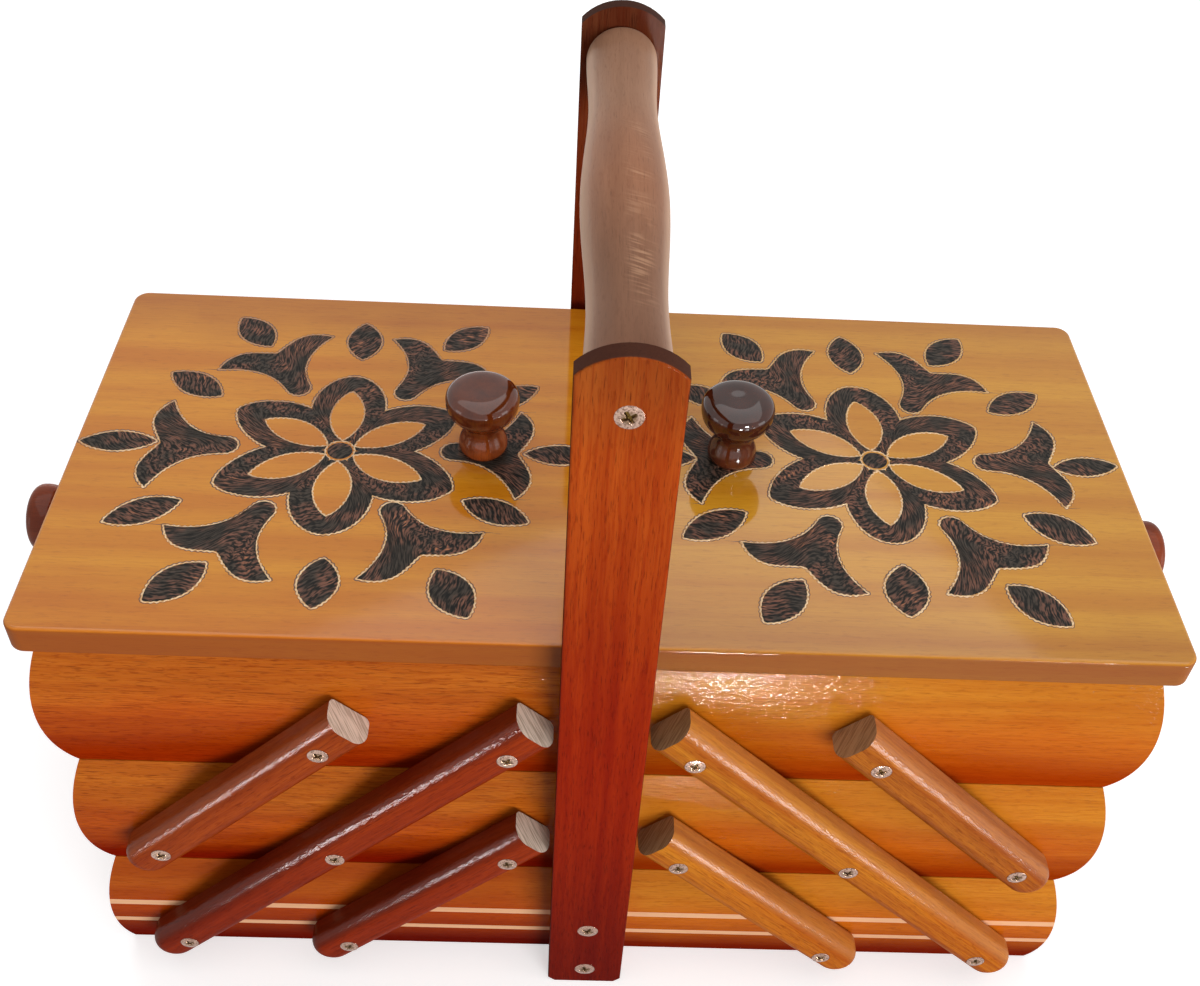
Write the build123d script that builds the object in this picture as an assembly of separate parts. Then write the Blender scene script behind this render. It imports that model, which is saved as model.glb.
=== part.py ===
from build123d import *
import math
import os

# Wooden cantilever sewing box: a base, two tiers of paired trays on slanting arms,
# two hinged lids and a carrying handle. Millimetres. X runs along the box, Y from
# front to back, Z up. The origin is on the floor below the middle of the box.

# --- box ------------------------------------------------------------------
body_length = 379.0          # over the fullest lines of the two end walls
body_depth = 177.0           # over the fullest lines of the front and back walls
base_full_height = 25.0      # floor to the fullest line of the base
tier_pitch = 64.5            # from one tier's fullest line to the next
tier_gap = 0.5               # between one tier and the next
top_rise = 34.2              # top tray's fullest line to its rim
wall_bulge = 6.0             # swell of a wall between two tier joints
wall_edge = 7.0              # thickness of a wall at its thin edge
inner_wall = 8.0             # flat walls on both sides of the split
bottom_thickness = 4.0
split_gap = 1.0              # between the left and right trays and lids

# --- inlaid strips round the base -----------------------------------------
inlay_width = 3.0
inlay_depth = 1.5
upper_inlay_rise = 7.6       # above the fullest line
lower_inlay_drop = 5.2       # below the fullest line

# --- lids -----------------------------------------------------------------
lid_thickness = 11.5
lid_overhang = 0.5           # past the fullest lines
lid_clearance = 0.3          # between a tray's rim and its lid
lid_corner_radius = 5.5
lid_edge_round = 1.4

# --- arms -----------------------------------------------------------------
arm_width = 17.0
arm_thickness = 12.0
arm_gap = 0.5                # between the walls' fullest lines and the arms
arm_front_round = 6.0
arm_back_round = 2.0
arm_rise = 1.5               # of a lower arm's middle line above its pivots
arm_foot_overhang = 9.0      # from an arm's lowest pivot to the middle of its round end
arm_post_clearance = 1.5     # between an arm's square end and the post beside it
pivot_end_inset = 33.25      # outer pivots from the fullest line of the end wall
pivot_split_inset = 30.75    # inner pivots from the split

# --- handle ---------------------------------------------------------------
post_width = 29.5
post_thickness = 6.0
post_standoff = 6.0          # between the walls' fullest lines and a post
post_edge_round = 0.8
post_foot_chamfer = 2.0
arch_radius = 19.5           # round top of a post, about the grip's axis
spacer_height = 50.0         # block between a post and the base
hand_room = 106.0            # lid top to the grip's axis
grip_belly_radius = 13.9
grip_neck_radius = 11.6
grip_neck_inset = 36.0       # from a post to the narrowest place
grip_end_radius = 12.6
grip_end_round = 1.6

# --- knobs ----------------------------------------------------------------
knob_foot_radius = 8.8
knob_foot_height = 2.8       # fullest place of the foot
knob_foot_tuck = 1.2         # how far the foot draws in where it is seated
knob_neck_radius = 6.8
knob_neck_height = 11.0
knob_head_radius = 13.0
knob_rim_height = 22.8
knob_height = 27.4
knob_tenon_radius = 4.0
knob_tenon_length = 7.0
knob_split_inset = 44.5      # lid knobs from the split
knob_setback = 2.5           # lid knobs behind the middle
end_knob_rise = 4.5          # end knobs above the top tray's fullest line
end_knob_sink = 2.4          # how far an end knob is let into the round wall

# --- lid hinges -----------------------------------------------------------
hinge_length = 24.0
hinge_spread = 110.0         # between the middles of one lid's two hinges
hinge_leaf = 1.2
hinge_leaf_reach = 12.0      # of the lid leaf, inwards from the barrel
barrel_radius = 2.2
barrel_clearance = 0.4       # between a barrel and the end wall
hinge_pin_radius = 1.0
knuckle_gap = 0.3
pin_clearance = 0.05         # round a pin in the lid's knuckle

# --- screws ---------------------------------------------------------------
pivot_screw_radius = 1.75
pivot_head_radius = 3.5
pivot_screw_length = 22.0
pivot_clearance = 0.08       # round a pivot screw in its arm
countersink_clearance = 0.2  # between a pivot screw's head and its countersink
post_screw_radius = 2.0
post_head_radius = 4.0
post_screw_length = 22.0
grip_screw_length = 38.0
upper_post_screw_height = 41.0
lower_post_screw_height = 10.0
head_dome = 0.5              # height of a screw's round top
recess_depth = 1.3           # of the cross recess in a screw's head
recess_slot = 0.8

# --- places worked out from the sizes -------------------------------------
x_full = body_length / 2
y_full = body_depth / 2
x_inner = x_full - wall_bulge - wall_edge
y_inner = y_full - wall_bulge - wall_edge
bulge_radius = ((tier_pitch / 2) ** 2 + wall_bulge ** 2) / (2 * wall_bulge)
full_line = [base_full_height + tier * tier_pitch for tier in range(3)]
joint_line = [z + tier_pitch / 2 for z in full_line]
base_low, base_high = 0.0, joint_line[0] - tier_gap / 2
middle_low, middle_high = joint_line[0] + tier_gap / 2, joint_line[1] - tier_gap / 2
top_low, top_high = joint_line[1] + tier_gap / 2, full_line[2] + top_rise
split_x = split_gap / 2
lid_low = top_high + lid_clearance
lid_high = lid_low + lid_thickness
grip_height = lid_high + hand_room
arm_back_y = y_full + arm_gap
arm_front_y = arm_back_y + arm_thickness
post_back_y = y_full + post_standoff
post_front_y = post_back_y + post_thickness

# pivots: three a side, evenly spaced, outer to inner
outer_pivot_x = x_full - pivot_end_inset
inner_pivot_x = split_x + pivot_split_inset
pivot_x = [outer_pivot_x, (outer_pivot_x + inner_pivot_x) / 2, inner_pivot_x]
pivot_step = pivot_x[0] - pivot_x[1]
arm_lean = math.atan2(tier_pitch, pivot_step)
arm_overhang = (inner_pivot_x - post_width / 2 - arm_post_clearance
                - (arm_width / 2 - arm_rise) * math.sin(arm_lean)) / math.cos(arm_lean)


def swell_loss(z, z_full):
    """How far a wall's outer face lies inside its fullest line at height z."""
    return bulge_radius - math.sqrt(bulge_radius ** 2 - (z - z_full) ** 2)


barrel_z = lid_low - lid_clearance - barrel_radius
barrel_x = x_full - swell_loss(barrel_z, full_line[2]) + barrel_radius + barrel_clearance
barrel_y = [-hinge_spread / 2, hinge_spread / 2]
knuckle = (hinge_length - 2 * knuckle_gap) / 3


# --- helpers --------------------------------------------------------------
def save(node, *solids):
    """Write one node's solids to its own file."""
    export_step(Compound(children=[s for group in solids for s in group.solids()]), f"parts/{node}.step")


def block(x0, x1, y0, y1, z0, z1):
    """Box between two corners."""
    return Pos((x0 + x1) / 2, (y0 + y1) / 2, (z0 + z1) / 2) * Box(abs(x1 - x0), abs(y1 - y0), abs(z1 - z0))


def to_right(shape):
    return mirror(shape, about=Plane.YZ)


def to_back(shape):
    return mirror(shape, about=Plane.XZ)


def prism(points, z0, z1):
    """Upright prism on a plan of straight lines."""
    return extrude(Plane.XY.offset(z0) * make_face(Polyline(*points, close=True)), z1 - z0)


def wall_section(full, z_full, z0, z1):
    """Slice of a swelled wall: flat inside, an arc of the bulge radius outside."""
    inside = full - wall_bulge - wall_edge
    low = (full - swell_loss(z0, z_full), z0)
    middle_z = (z0 + z1) / 2
    middle = (full - swell_loss(middle_z, z_full), middle_z)
    high = (full - swell_loss(z1, z_full), z1)
    outline = [Line((inside, z0), low), ThreePointArc(low, middle, high),
               Line(high, (inside, z1)), Line((inside, z1), (inside, z0))]
    return make_face(outline)


def front_board(x0, x1, z_full, z0, z1):
    """Swelled board along X, facing the front."""
    plane = Plane(origin=(x1, 0, 0), x_dir=(0, -1, 0), z_dir=(-1, 0, 0))
    return extrude(plane * wall_section(y_full, z_full, z0, z1), x1 - x0)


def left_board(z_full, z0, z1):
    """Swelled board along Y, facing the left end."""
    plane = Plane(origin=(0, -y_full, 0), x_dir=(-1, 0, 0), z_dir=(0, 1, 0))
    return extrude(plane * wall_section(x_full, z_full, z0, z1), 2 * y_full)


# --- screws ---------------------------------------------------------------
def screw_blank(shank_radius, head_radius, length):
    """Countersunk wood screw along Z with no recess: the head's rim at z = 0, the point at z = -length."""
    cone = head_radius - shank_radius
    tip = 1.5 * shank_radius
    outline = [Line((0, -length), (shank_radius, tip - length)),
               Line((shank_radius, tip - length), (shank_radius, -cone)),
               Line((shank_radius, -cone), (head_radius, 0)),
               ThreePointArc((head_radius, 0), (head_radius / 2, 0.75 * head_dome), (0, head_dome)),
               Line((0, head_dome), (0, -length))]
    return revolve(Plane.XZ * make_face(outline), Axis.Z)


def cross_recess(head_radius):
    """Cross cut into a screw's head."""
    slot = Box(1.15 * head_radius, recess_slot, 2 * recess_depth)
    return slot + Rot(0, 0, 90) * slot


def pivot_blank():
    return screw_blank(pivot_screw_radius, pivot_head_radius, pivot_screw_length)


def post_blank(length):
    return screw_blank(post_screw_radius, post_head_radius, length)


def front_facing(x, y, z):
    """Placing that turns a screw's head to the front."""
    return Location((x, -y, z), (90, 0, 0))


def pivot_places(indices, tier):
    return [front_facing(-pivot_x[i], arm_front_y, full_line[tier]) for i in indices]


def foot_places():
    return [front_facing(0, post_front_y, z) for z in (upper_post_screw_height, lower_post_screw_height)]


def grip_place():
    return front_facing(0, post_front_y, grip_height)


def pivot_screws(indices, tier):
    return [place * (pivot_blank() - cross_recess(pivot_head_radius)) for place in pivot_places(indices, tier)]


def drilled(board, *tools):
    """Board with a hole for each piece that enters it."""
    for tool in tools:
        board = board - tool
    return board


def pivot_drilled(board, indices, tier):
    return drilled(board, *[place * pivot_blank() for place in pivot_places(indices, tier)])


def paired(solids):
    """Front solids and their mirror images at the back."""
    return list(solids) + [to_back(s) for s in solids]


# --- tiers ----------------------------------------------------------------
def front_plan(x_end):
    """Plan of a front wall: mitred at the left corner, square at x_end."""
    return [(-x_full, -y_full), (x_end, -y_full), (x_end, -y_inner), (-x_inner, -y_inner)]


def left_plan():
    """Plan of a left end wall, mitred at both corners."""
    return [(-x_full, -y_full), (-x_inner, -y_inner), (-x_inner, y_inner), (-x_full, y_full)]


def tray_walls(z_full, z0, z1):
    """Left tray's front, outer and inner wall, and its bottom."""
    front = front_board(-x_full, -split_x, z_full, z0, z1) & prism(front_plan(-split_x), z0, z1)
    outer = left_board(z_full, z0, z1) & prism(left_plan(), z0, z1)
    inner = block(-split_x - inner_wall, -split_x, -y_inner, y_inner, z0, z1)
    bottom = block(-x_inner, -split_x - inner_wall, -y_inner, y_inner, z0, z0 + bottom_thickness)
    return front, outer, inner, bottom


def base_walls():
    """Base front and left wall before grooves and holes."""
    plan = [(-x_full, -y_full), (x_full, -y_full), (x_inner, -y_inner), (-x_inner, -y_inner)]
    front = front_board(-x_full, x_full, full_line[0], base_low, base_high) & prism(plan, base_low, base_high)
    left = left_board(full_line[0], base_low, base_high) & prism(left_plan(), base_low, base_high)
    return front, left


def strip_bands():
    """Two flat rings round the base that hold the inlaid strips."""
    bands = []
    for rise in (upper_inlay_rise, -lower_inlay_drop):
        z = full_line[0] + rise
        cut = swell_loss(z, full_line[0]) + inlay_depth
        outside = block(-x_full, x_full, -y_full, y_full, z - inlay_width / 2, z + inlay_width / 2)
        inside = block(cut - x_full, x_full - cut, cut - y_full, y_full - cut,
                       z - inlay_width, z + inlay_width)
        bands.append(outside - inside)
    return bands


def build_base():
    front, left = base_walls()
    spacer = block(-post_width / 2, post_width / 2, -post_back_y, -y_inner, base_low, spacer_height) - front
    spacer = spacer.solids().sort_by(Axis.Y)[0]
    strips = [wall & band for wall in (front, left) for band in strip_bands()]
    for band in strip_bands():
        front = front - band
        left = left - band
    pivots = pivot_screws((0, 1), 0)
    foot_blanks = [place * post_blank(post_screw_length) for place in foot_places()]
    grip_blank = grip_place() * post_blank(grip_screw_length)
    slots = [place * cross_recess(post_head_radius) for place in foot_places() + [grip_place()]]
    screws = [blank - slot for blank, slot in zip(foot_blanks + [grip_blank], slots)]
    front = pivot_drilled(front, (0, 1), 0)
    front = drilled(front, *[to_right(place * pivot_blank()) for place in pivot_places((0, 1), 0)], *foot_blanks)
    post = drilled(front_post(), *foot_blanks, grip_blank)
    save("base_front_wall", front)
    save("base_back_wall", to_back(front))
    save("base_left_wall", left)
    save("base_right_wall", to_right(left))
    save("base_bottom", block(-x_inner, x_inner, -y_inner, y_inner, base_low, bottom_thickness))
    save("base_inlay", *strips[:2], *[to_back(s) for s in strips[:2]], *strips[2:], *[to_right(s) for s in strips[2:]])
    save("base_pivot_screws", *paired(pivots + [to_right(s) for s in pivots]))
    save("front_post", post)
    save("back_post", to_back(post))
    save("post_spacers", *paired([drilled(spacer, *foot_blanks)]))
    save("handle_screws", *paired(screws))
    save("handle_grip", drilled(grip(), *paired([grip_blank])))


# --- handle ---------------------------------------------------------------
def front_post():
    """Flat post with a round top about the grip's axis."""
    half = post_width / 2
    shoulder = grip_height + math.sqrt(arch_radius ** 2 - half ** 2)
    plane = Plane.XZ.offset(post_back_y)
    outline = [Line((-half, 0), (half, 0)), Line((half, 0), (half, shoulder)),
               ThreePointArc((half, shoulder), (0, grip_height + arch_radius), (-half, shoulder)),
               Line((-half, shoulder), (-half, 0))]
    post = extrude(plane * make_face(outline), post_thickness)
    feet = post.edges().filter_by(Axis.Y).filter_by_position(Axis.Z, -0.1, 0.1)
    post = chamfer(feet, post_foot_chamfer)
    rim = post.edges().filter_by_position(Axis.Y, -post_front_y - 0.01, -post_front_y + 0.01)
    return fillet(rim.filter_by_position(Axis.Z, base_low + 0.1, grip_height + 2 * arch_radius), post_edge_round)


def grip():
    """Turned grip along Y between the posts: full in the middle, a neck and a fuller end each side."""
    half = post_back_y
    neck = half - grip_neck_inset
    end = half - grip_end_round
    curve = Spline((0, grip_belly_radius), (neck, grip_neck_radius), (end, grip_end_radius),
                   tangents=[(1, 0), (1, 0)])
    tip = (half, grip_end_radius - grip_end_round)
    outline = [curve, RadiusArc((end, grip_end_radius), tip, grip_end_round),
               Line(tip, (half, 0)), Line((half, 0), (0, 0)), Line((0, 0), (0, grip_belly_radius))]
    plane = Plane(origin=(0, 0, grip_height), x_dir=(0, 1, 0), z_dir=(1, 0, 0))
    half_grip = revolve(plane * make_face(outline), Axis((0, 0, grip_height), (0, 1, 0)))
    return half_grip + to_back(half_grip)


# --- knobs ----------------------------------------------------------------
def knob():
    """Turned knob along Z: swelled foot, neck and domed head, with a tenon below z = 0."""
    side = Spline((knob_foot_radius - knob_foot_tuck, 0), (knob_foot_radius, knob_foot_height),
                  (knob_neck_radius, knob_neck_height), (knob_head_radius, knob_rim_height),
                  tangents=[(0.6, 0.8), (0, 1), (0, 1), (0, 1)])
    dome = Spline((knob_head_radius, knob_rim_height), (0, knob_height), tangents=[(0, 1), (-1, 0)])
    outline = [side, dome, Line((0, knob_height), (0, -knob_tenon_length)),
               Line((0, -knob_tenon_length), (knob_tenon_radius, -knob_tenon_length)),
               Line((knob_tenon_radius, -knob_tenon_length), (knob_tenon_radius, 0)),
               Line((knob_tenon_radius, 0), (knob_foot_radius - knob_foot_tuck, 0))]
    return revolve(Plane.XZ * make_face(outline), Axis.Z)


# --- arms -----------------------------------------------------------------
def arm(low_pivot, high_pivot, low_tier, rise, pivots):
    """Front left arm: round past its lowest pivot, cut square past its highest."""
    low = Vector(-pivot_x[low_pivot], full_line[low_tier])
    high = Vector(-pivot_x[high_pivot], full_line[low_tier + high_pivot - low_pivot])
    along = (high - low).normalized()
    up = Vector(-along.Y, along.X)
    across = up * (arm_width / 2)
    foot = low - along * arm_foot_overhang + up * rise
    top = high + along * arm_overhang + up * rise
    outline = [Line(foot + across, top + across), Line(top + across, top - across),
               Line(top - across, foot - across),
               ThreePointArc(foot - across, foot - along * (arm_width / 2), foot + across)]
    plane = Plane.XZ.offset(arm_back_y)
    bar = extrude(plane * make_face(outline), arm_thickness)
    top_edge = Vector(top.X, 0, top.Y)
    for y, radius in ((arm_front_y, arm_front_round), (arm_back_y, arm_back_round)):
        rim = bar.edges().filter_by_position(Axis.Y, -y - 0.01, -y + 0.01)
        ends = [e for e in rim if (Vector(e.center().X, 0, e.center().Z) - top_edge).length > arm_width / 4]
        bar = fillet(ends, radius)
    for place in pivots:
        bar = bar - place * pivot_bore()
    return bar


def pivot_bore():
    """Running hole for a pivot screw with its countersink."""
    radius = pivot_screw_radius + pivot_clearance
    mouth = pivot_head_radius + countersink_clearance
    depth = mouth - radius
    hole = Pos(0, 0, -arm_thickness) * Cylinder(radius, 2 * arm_thickness + 4)
    cone = Pos(0, 0, -depth / 2) * Cone(radius, mouth, depth)
    lip = Pos(0, 0, head_dome) * Cylinder(mouth, 2 * head_dome)
    return hole + cone + lip


# --- lids and hinges ------------------------------------------------------
def barrel_rods(radius):
    """Rods as long as a hinge on the axes of the left lid's two barrels."""
    return [barrel_piece(y, radius, hinge_length) for y in barrel_y]


def barrel_piece(y, radius, length):
    return Pos(-barrel_x, y, barrel_z) * Rot(90, 0, 0) * Cylinder(radius, length)


def tray_leaves():
    """Leaf let into the end wall's rim, with a knuckle at each end of the hinge."""
    side = knuckle + knuckle_gap
    leaves = []
    for y in barrel_y:
        leaf = block(-barrel_x, -x_inner, y - hinge_length / 2, y + hinge_length / 2, top_high - hinge_leaf, top_high)
        leaf = leaf - block(-barrel_x - barrel_radius, -leaf_notch_x(), y - side / 2 - knuckle_gap / 2,
                            y + side / 2 + knuckle_gap / 2, top_high - 2 * hinge_leaf, top_high + hinge_leaf)
        for shift in (-side, side):
            leaf = leaf + barrel_piece(y + shift, barrel_radius, knuckle)
        leaves.append(leaf)
    return [drilled(leaf, *barrel_rods(hinge_pin_radius)) for leaf in leaves]


def leaf_notch_x():
    """Where the tray leaf stops short of the lid's knuckle."""
    return barrel_x - barrel_radius - knuckle_gap


def lid_leaves():
    """Leaf let into the lid's underside, with one knuckle hung from its outer edge."""
    leaves = []
    for y in barrel_y:
        leaf = block(-barrel_x - barrel_radius, -barrel_x + hinge_leaf_reach, y - hinge_length / 2,
                     y + hinge_length / 2, lid_low, lid_low + hinge_leaf)
        leaf = leaf + block(-barrel_x - barrel_radius, -barrel_x, y - knuckle / 2, y + knuckle / 2,
                            barrel_z, lid_low + hinge_leaf)
        leaves.append(leaf + barrel_piece(y, barrel_radius, knuckle))
    return [drilled(leaf, *barrel_rods(hinge_pin_radius + pin_clearance)) for leaf in leaves]


def left_lid():
    """Flat lid with two rounded outer corners and eased edges."""
    x_end = x_full + lid_overhang
    y_end = y_full + lid_overhang
    lid = block(-x_end, -split_x, -y_end, y_end, lid_low, lid_high)
    lid = fillet(lid.edges().filter_by(Axis.Z).sort_by(Axis.X)[:2], lid_corner_radius)
    rims = [e for e in lid.edges() if e.center().X < -split_x - 0.1 and abs(e.tangent_at(0.5).Z) < 0.1]
    return fillet(rims, lid_edge_round)


def build_side(side, flip):
    """One side's trays, arms, lid and hinges; flip mirrors the left side to the right."""
    def keep(name, *solids):
        """Save one of this side's nodes."""
        save(f"{side}_{name}", *[flip(s) for s in solids])

    front, outer, inner, bottom = tray_walls(full_line[1], middle_low, middle_high)
    front = pivot_drilled(front, (0, 1, 2), 1)
    keep("middle_front_wall", front)
    keep("middle_back_wall", to_back(front))
    keep("middle_outer_wall", outer)
    keep("middle_inner_wall", inner)
    keep("middle_bottom", bottom)
    keep("middle_pivot_screws", *paired(pivot_screws((0, 1, 2), 1)))

    end_knob = Location((end_knob_sink - x_full, 0, full_line[2] + end_knob_rise), (0, -90, 0)) * knob()
    leaves = tray_leaves()
    front, outer, inner, bottom = tray_walls(full_line[2], top_low, top_high)
    front = pivot_drilled(front, (1, 2), 2)
    outer = drilled(outer, end_knob, *leaves)
    keep("top_front_wall", front)
    keep("top_back_wall", to_back(front))
    keep("top_outer_wall", outer)
    keep("top_inner_wall", inner)
    keep("top_bottom", bottom)
    keep("top_pivot_screws", *paired(pivot_screws((1, 2), 2)))
    keep("end_knob", end_knob)
    keep("hinge_tray_leaves", *leaves)
    keep("hinge_pins", *barrel_rods(hinge_pin_radius))

    lid_knob = Pos(-split_x - knob_split_inset, knob_setback, lid_high) * knob()
    lid = drilled(left_lid(), lid_knob, *lid_leaves())
    keep("lid", lid)
    keep("lid_knob", lid_knob)
    keep("hinge_lid_leaves", *lid_leaves())

    arms = {"long_arm": (0, 2, 0, arm_rise), "lower_arm": (1, 2, 0, arm_rise), "upper_arm": (0, 1, 1, 0)}
    for name, (low, high, tier, rise) in arms.items():
        places = [pivot_places((low + step,), tier + step)[0] for step in range(high - low + 1)]
        bar = arm(low, high, tier, rise, places)
        keep(f"front_{name}", bar)
        keep(f"back_{name}", to_back(bar))


def main():
    os.makedirs("parts", exist_ok=True)
    build_base()
    build_side("left", lambda s: s)
    build_side("right", to_right)


main()
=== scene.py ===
"""Finishes and carved ornament of a wooden cantilever sewing box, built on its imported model.

Everything is in metres in the box's own frame: X along the box, Y from front to back, Z up,
with the origin on the floor below the middle of the box.
"""
import logging
import math
from dataclasses import dataclass, field
from enum import Enum
from functools import lru_cache
from typing import Optional

import bpy
import numpy as np
from mathutils import Matrix, Vector


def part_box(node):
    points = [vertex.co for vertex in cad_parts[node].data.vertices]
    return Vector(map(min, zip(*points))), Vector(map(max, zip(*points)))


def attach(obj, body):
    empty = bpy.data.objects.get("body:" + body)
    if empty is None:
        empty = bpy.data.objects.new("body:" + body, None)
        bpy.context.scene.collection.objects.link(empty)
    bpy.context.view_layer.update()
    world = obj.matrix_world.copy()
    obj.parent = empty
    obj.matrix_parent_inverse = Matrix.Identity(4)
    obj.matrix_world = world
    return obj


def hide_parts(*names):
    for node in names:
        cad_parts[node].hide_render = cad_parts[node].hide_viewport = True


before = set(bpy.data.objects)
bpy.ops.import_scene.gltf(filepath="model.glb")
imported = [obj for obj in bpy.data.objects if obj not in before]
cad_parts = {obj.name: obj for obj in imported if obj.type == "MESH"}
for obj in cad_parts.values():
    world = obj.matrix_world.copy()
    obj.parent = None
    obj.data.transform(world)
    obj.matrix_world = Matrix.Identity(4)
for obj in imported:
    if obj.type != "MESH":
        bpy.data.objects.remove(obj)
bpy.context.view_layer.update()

LOG = logging.getLogger("sewing_box")
MM = 0.001
Colour = tuple[float, float, float]
Triple = tuple[float, float, float]
Socket = bpy.types.NodeSocket
UP: Triple = (0.0, 0.0, 1.0)
LENGTHWISE: Triple = (1.0, 0.0, 0.0)
BACKWARDS: Triple = (0.0, 1.0, 0.0)
FORWARDS: Triple = (0.0, -1.0, 0.0)


# --- small helpers ---------------------------------------------------------------------
def linear(red: int, green: int, blue: int) -> Colour:
    """Turn a display colour of 0 to 255 a channel into linear light.

    Args:
        red, green, blue: display values.

    Returns:
        The linear colour: v / 12.92 below 0.04045, else ((v + 0.055) / 1.055) to the power 2.4.
    """
    values = []
    for channel in (red, green, blue):
        v = channel / 255
        values.append(v / 12.92 if v <= 0.04045 else ((v + 0.055) / 1.055) ** 2.4)
    return tuple(values)


def smoothstep(x: np.ndarray) -> np.ndarray:
    """S-curve 3x^2 - 2x^3 of x held between 0 and 1."""
    x = np.clip(x, 0.0, 1.0)
    return x * x * (3.0 - 2.0 * x)


def lattice_noise(x: np.ndarray, y: np.ndarray, seed: float) -> np.ndarray:
    """Smooth noise of 0 to 1 on a unit lattice.

    Each lattice point has the fraction of 43758.5453 sin(12.9898 i + 78.233 j + seed), and a
    point between four of them blends theirs by S-curves of its place in the cell.

    Args:
        x, y: places in lattice units.
        seed: picks another pattern.

    Returns:
        The noise, shaped as x and y.
    """
    i, j = np.floor(x), np.floor(y)
    u, v = smoothstep(x - i), smoothstep(y - j)

    def corner(a: int, b: int) -> np.ndarray:
        """Random value of one corner of each cell."""
        s = np.sin(12.9898 * (i + a) + 78.233 * (j + b) + seed) * 43758.5453
        return s - np.floor(s)

    low = corner(0, 0) * (1 - u) + corner(1, 0) * u
    high = corner(0, 1) * (1 - u) + corner(1, 1) * u
    return low * (1 - v) + high * v


def bezier(points: list[tuple[float, float]], t: np.ndarray) -> np.ndarray:
    """Cubic curve of four control points: the sum of the Bernstein weights times the points.

    Args:
        points: four places on a plane.
        t: parameters from 0 to 1.

    Returns:
        Places, one row for each t.
    """
    p = np.array(points, float)
    weights = np.stack([(1 - t) ** 3, 3 * t * (1 - t) ** 2, 3 * t * t * (1 - t), t ** 3], -1)
    return weights @ p


def turned(points: np.ndarray, angle: float, centre: tuple[float, float] = (0.0, 0.0)) -> np.ndarray:
    """Turn places on a plane by angle about the origin and move them to centre."""
    c, s = math.cos(angle), math.sin(angle)
    return points @ np.array([[c, s], [-s, c]]) + np.array(centre)


def mirrored(half: np.ndarray) -> np.ndarray:
    """Run along half an outline, and back along its mirror image across the X axis."""
    return np.concatenate([half, (half * np.array([1, -1]))[-2::-1]])


def round_trip(near: np.ndarray, far: np.ndarray) -> np.ndarray:
    """Closed path along one edge and back along the other, where both share their ends."""
    return np.concatenate([near, far[-2:0:-1]])


def closed_loop_quads(rows: int, columns: int, start: int, closed_rows: bool = False) -> np.ndarray:
    """Corner indices of the faces of a grid whose columns close into a loop.

    Face (i, j) joins vertices (i, j), (i + 1, j), (i + 1, j + 1) and (i, j + 1), with the
    column after the last one being the first, and the row too where closed_rows says so.

    Args:
        rows, columns: size of the grid, stored row by row.
        start: index of its first vertex.
        closed_rows: whether the last row joins the first.

    Returns:
        Indices, four for each face.
    """
    i = np.arange(rows if closed_rows else rows - 1)[:, None]
    j = np.arange(columns)[None, :]
    following, beside = (i + 1) % rows, (j + 1) % columns
    quads = np.stack([i * columns + j, following * columns + j,
                      following * columns + beside, i * columns + beside], -1)
    return quads.reshape(-1, 4) + start


@dataclass
class Skin:
    """A closed mesh gathered from grids of places, with a value and a stroke place at each vertex."""

    places: list[np.ndarray] = field(default_factory=list)
    values: list[np.ndarray] = field(default_factory=list)
    ways: list[np.ndarray] = field(default_factory=list)
    faces: list[list[int]] = field(default_factory=list)
    count: int = 0

    def add_tube(self, grid: np.ndarray, value: Optional[np.ndarray] = None,
                 closed_rows: bool = False, way: Optional[np.ndarray] = None) -> None:
        """Add a grid whose columns close into a loop, with flat ends where its rows don't close.

        Args:
            grid: places, rows by columns by 3.
            value: a number at each place, or None for 0.
            closed_rows: whether the last row joins the first.
            way: a place in the strokes' own frame at each place, or None for 0.
        """
        rows, columns = grid.shape[:2]
        quads = closed_loop_quads(rows, columns, self.count, closed_rows)
        self.faces.extend(quads.tolist())
        if not closed_rows:
            last = self.count + (rows - 1) * columns
            self.faces.append(list(range(self.count, self.count + columns)))
            self.faces.append(list(range(last + columns - 1, last - 1, -1)))
        self.places.append(grid.reshape(-1, 3))
        self.values.append(np.zeros(rows * columns) if value is None else value.reshape(-1))
        self.ways.append(np.zeros((rows * columns, 3)) if way is None else way.reshape(-1, 3))
        self.count += rows * columns

    def build(self, name: str, value_name: Optional[str] = None) -> bpy.types.Object:
        """Make the mesh object, shaded smooth.

        Args:
            name: name of the piece.
            value_name: name of the attribute that keeps the values, or None where nothing needs them.

        Returns:
            The linked object, at the origin.
        """
        mesh = bpy.data.meshes.new(name)
        mesh.from_pydata(np.concatenate(self.places).tolist(), [], self.faces)
        if value_name:
            attribute = mesh.attributes.new(value_name, "FLOAT", "POINT")
            attribute.data.foreach_set("value", np.concatenate(self.values).astype(np.float32))
        ways = np.concatenate(self.ways).astype(np.float32)
        if np.any(ways):
            strokes = mesh.attributes.new("way", "FLOAT_VECTOR", "POINT")
            strokes.data.foreach_set("vector", ways.reshape(-1))
        mesh.polygons.foreach_set("use_smooth", [True] * len(mesh.polygons))
        mesh.update()
        made = bpy.data.objects.new(name, mesh)
        bpy.context.scene.collection.objects.link(made)
        return made


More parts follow.
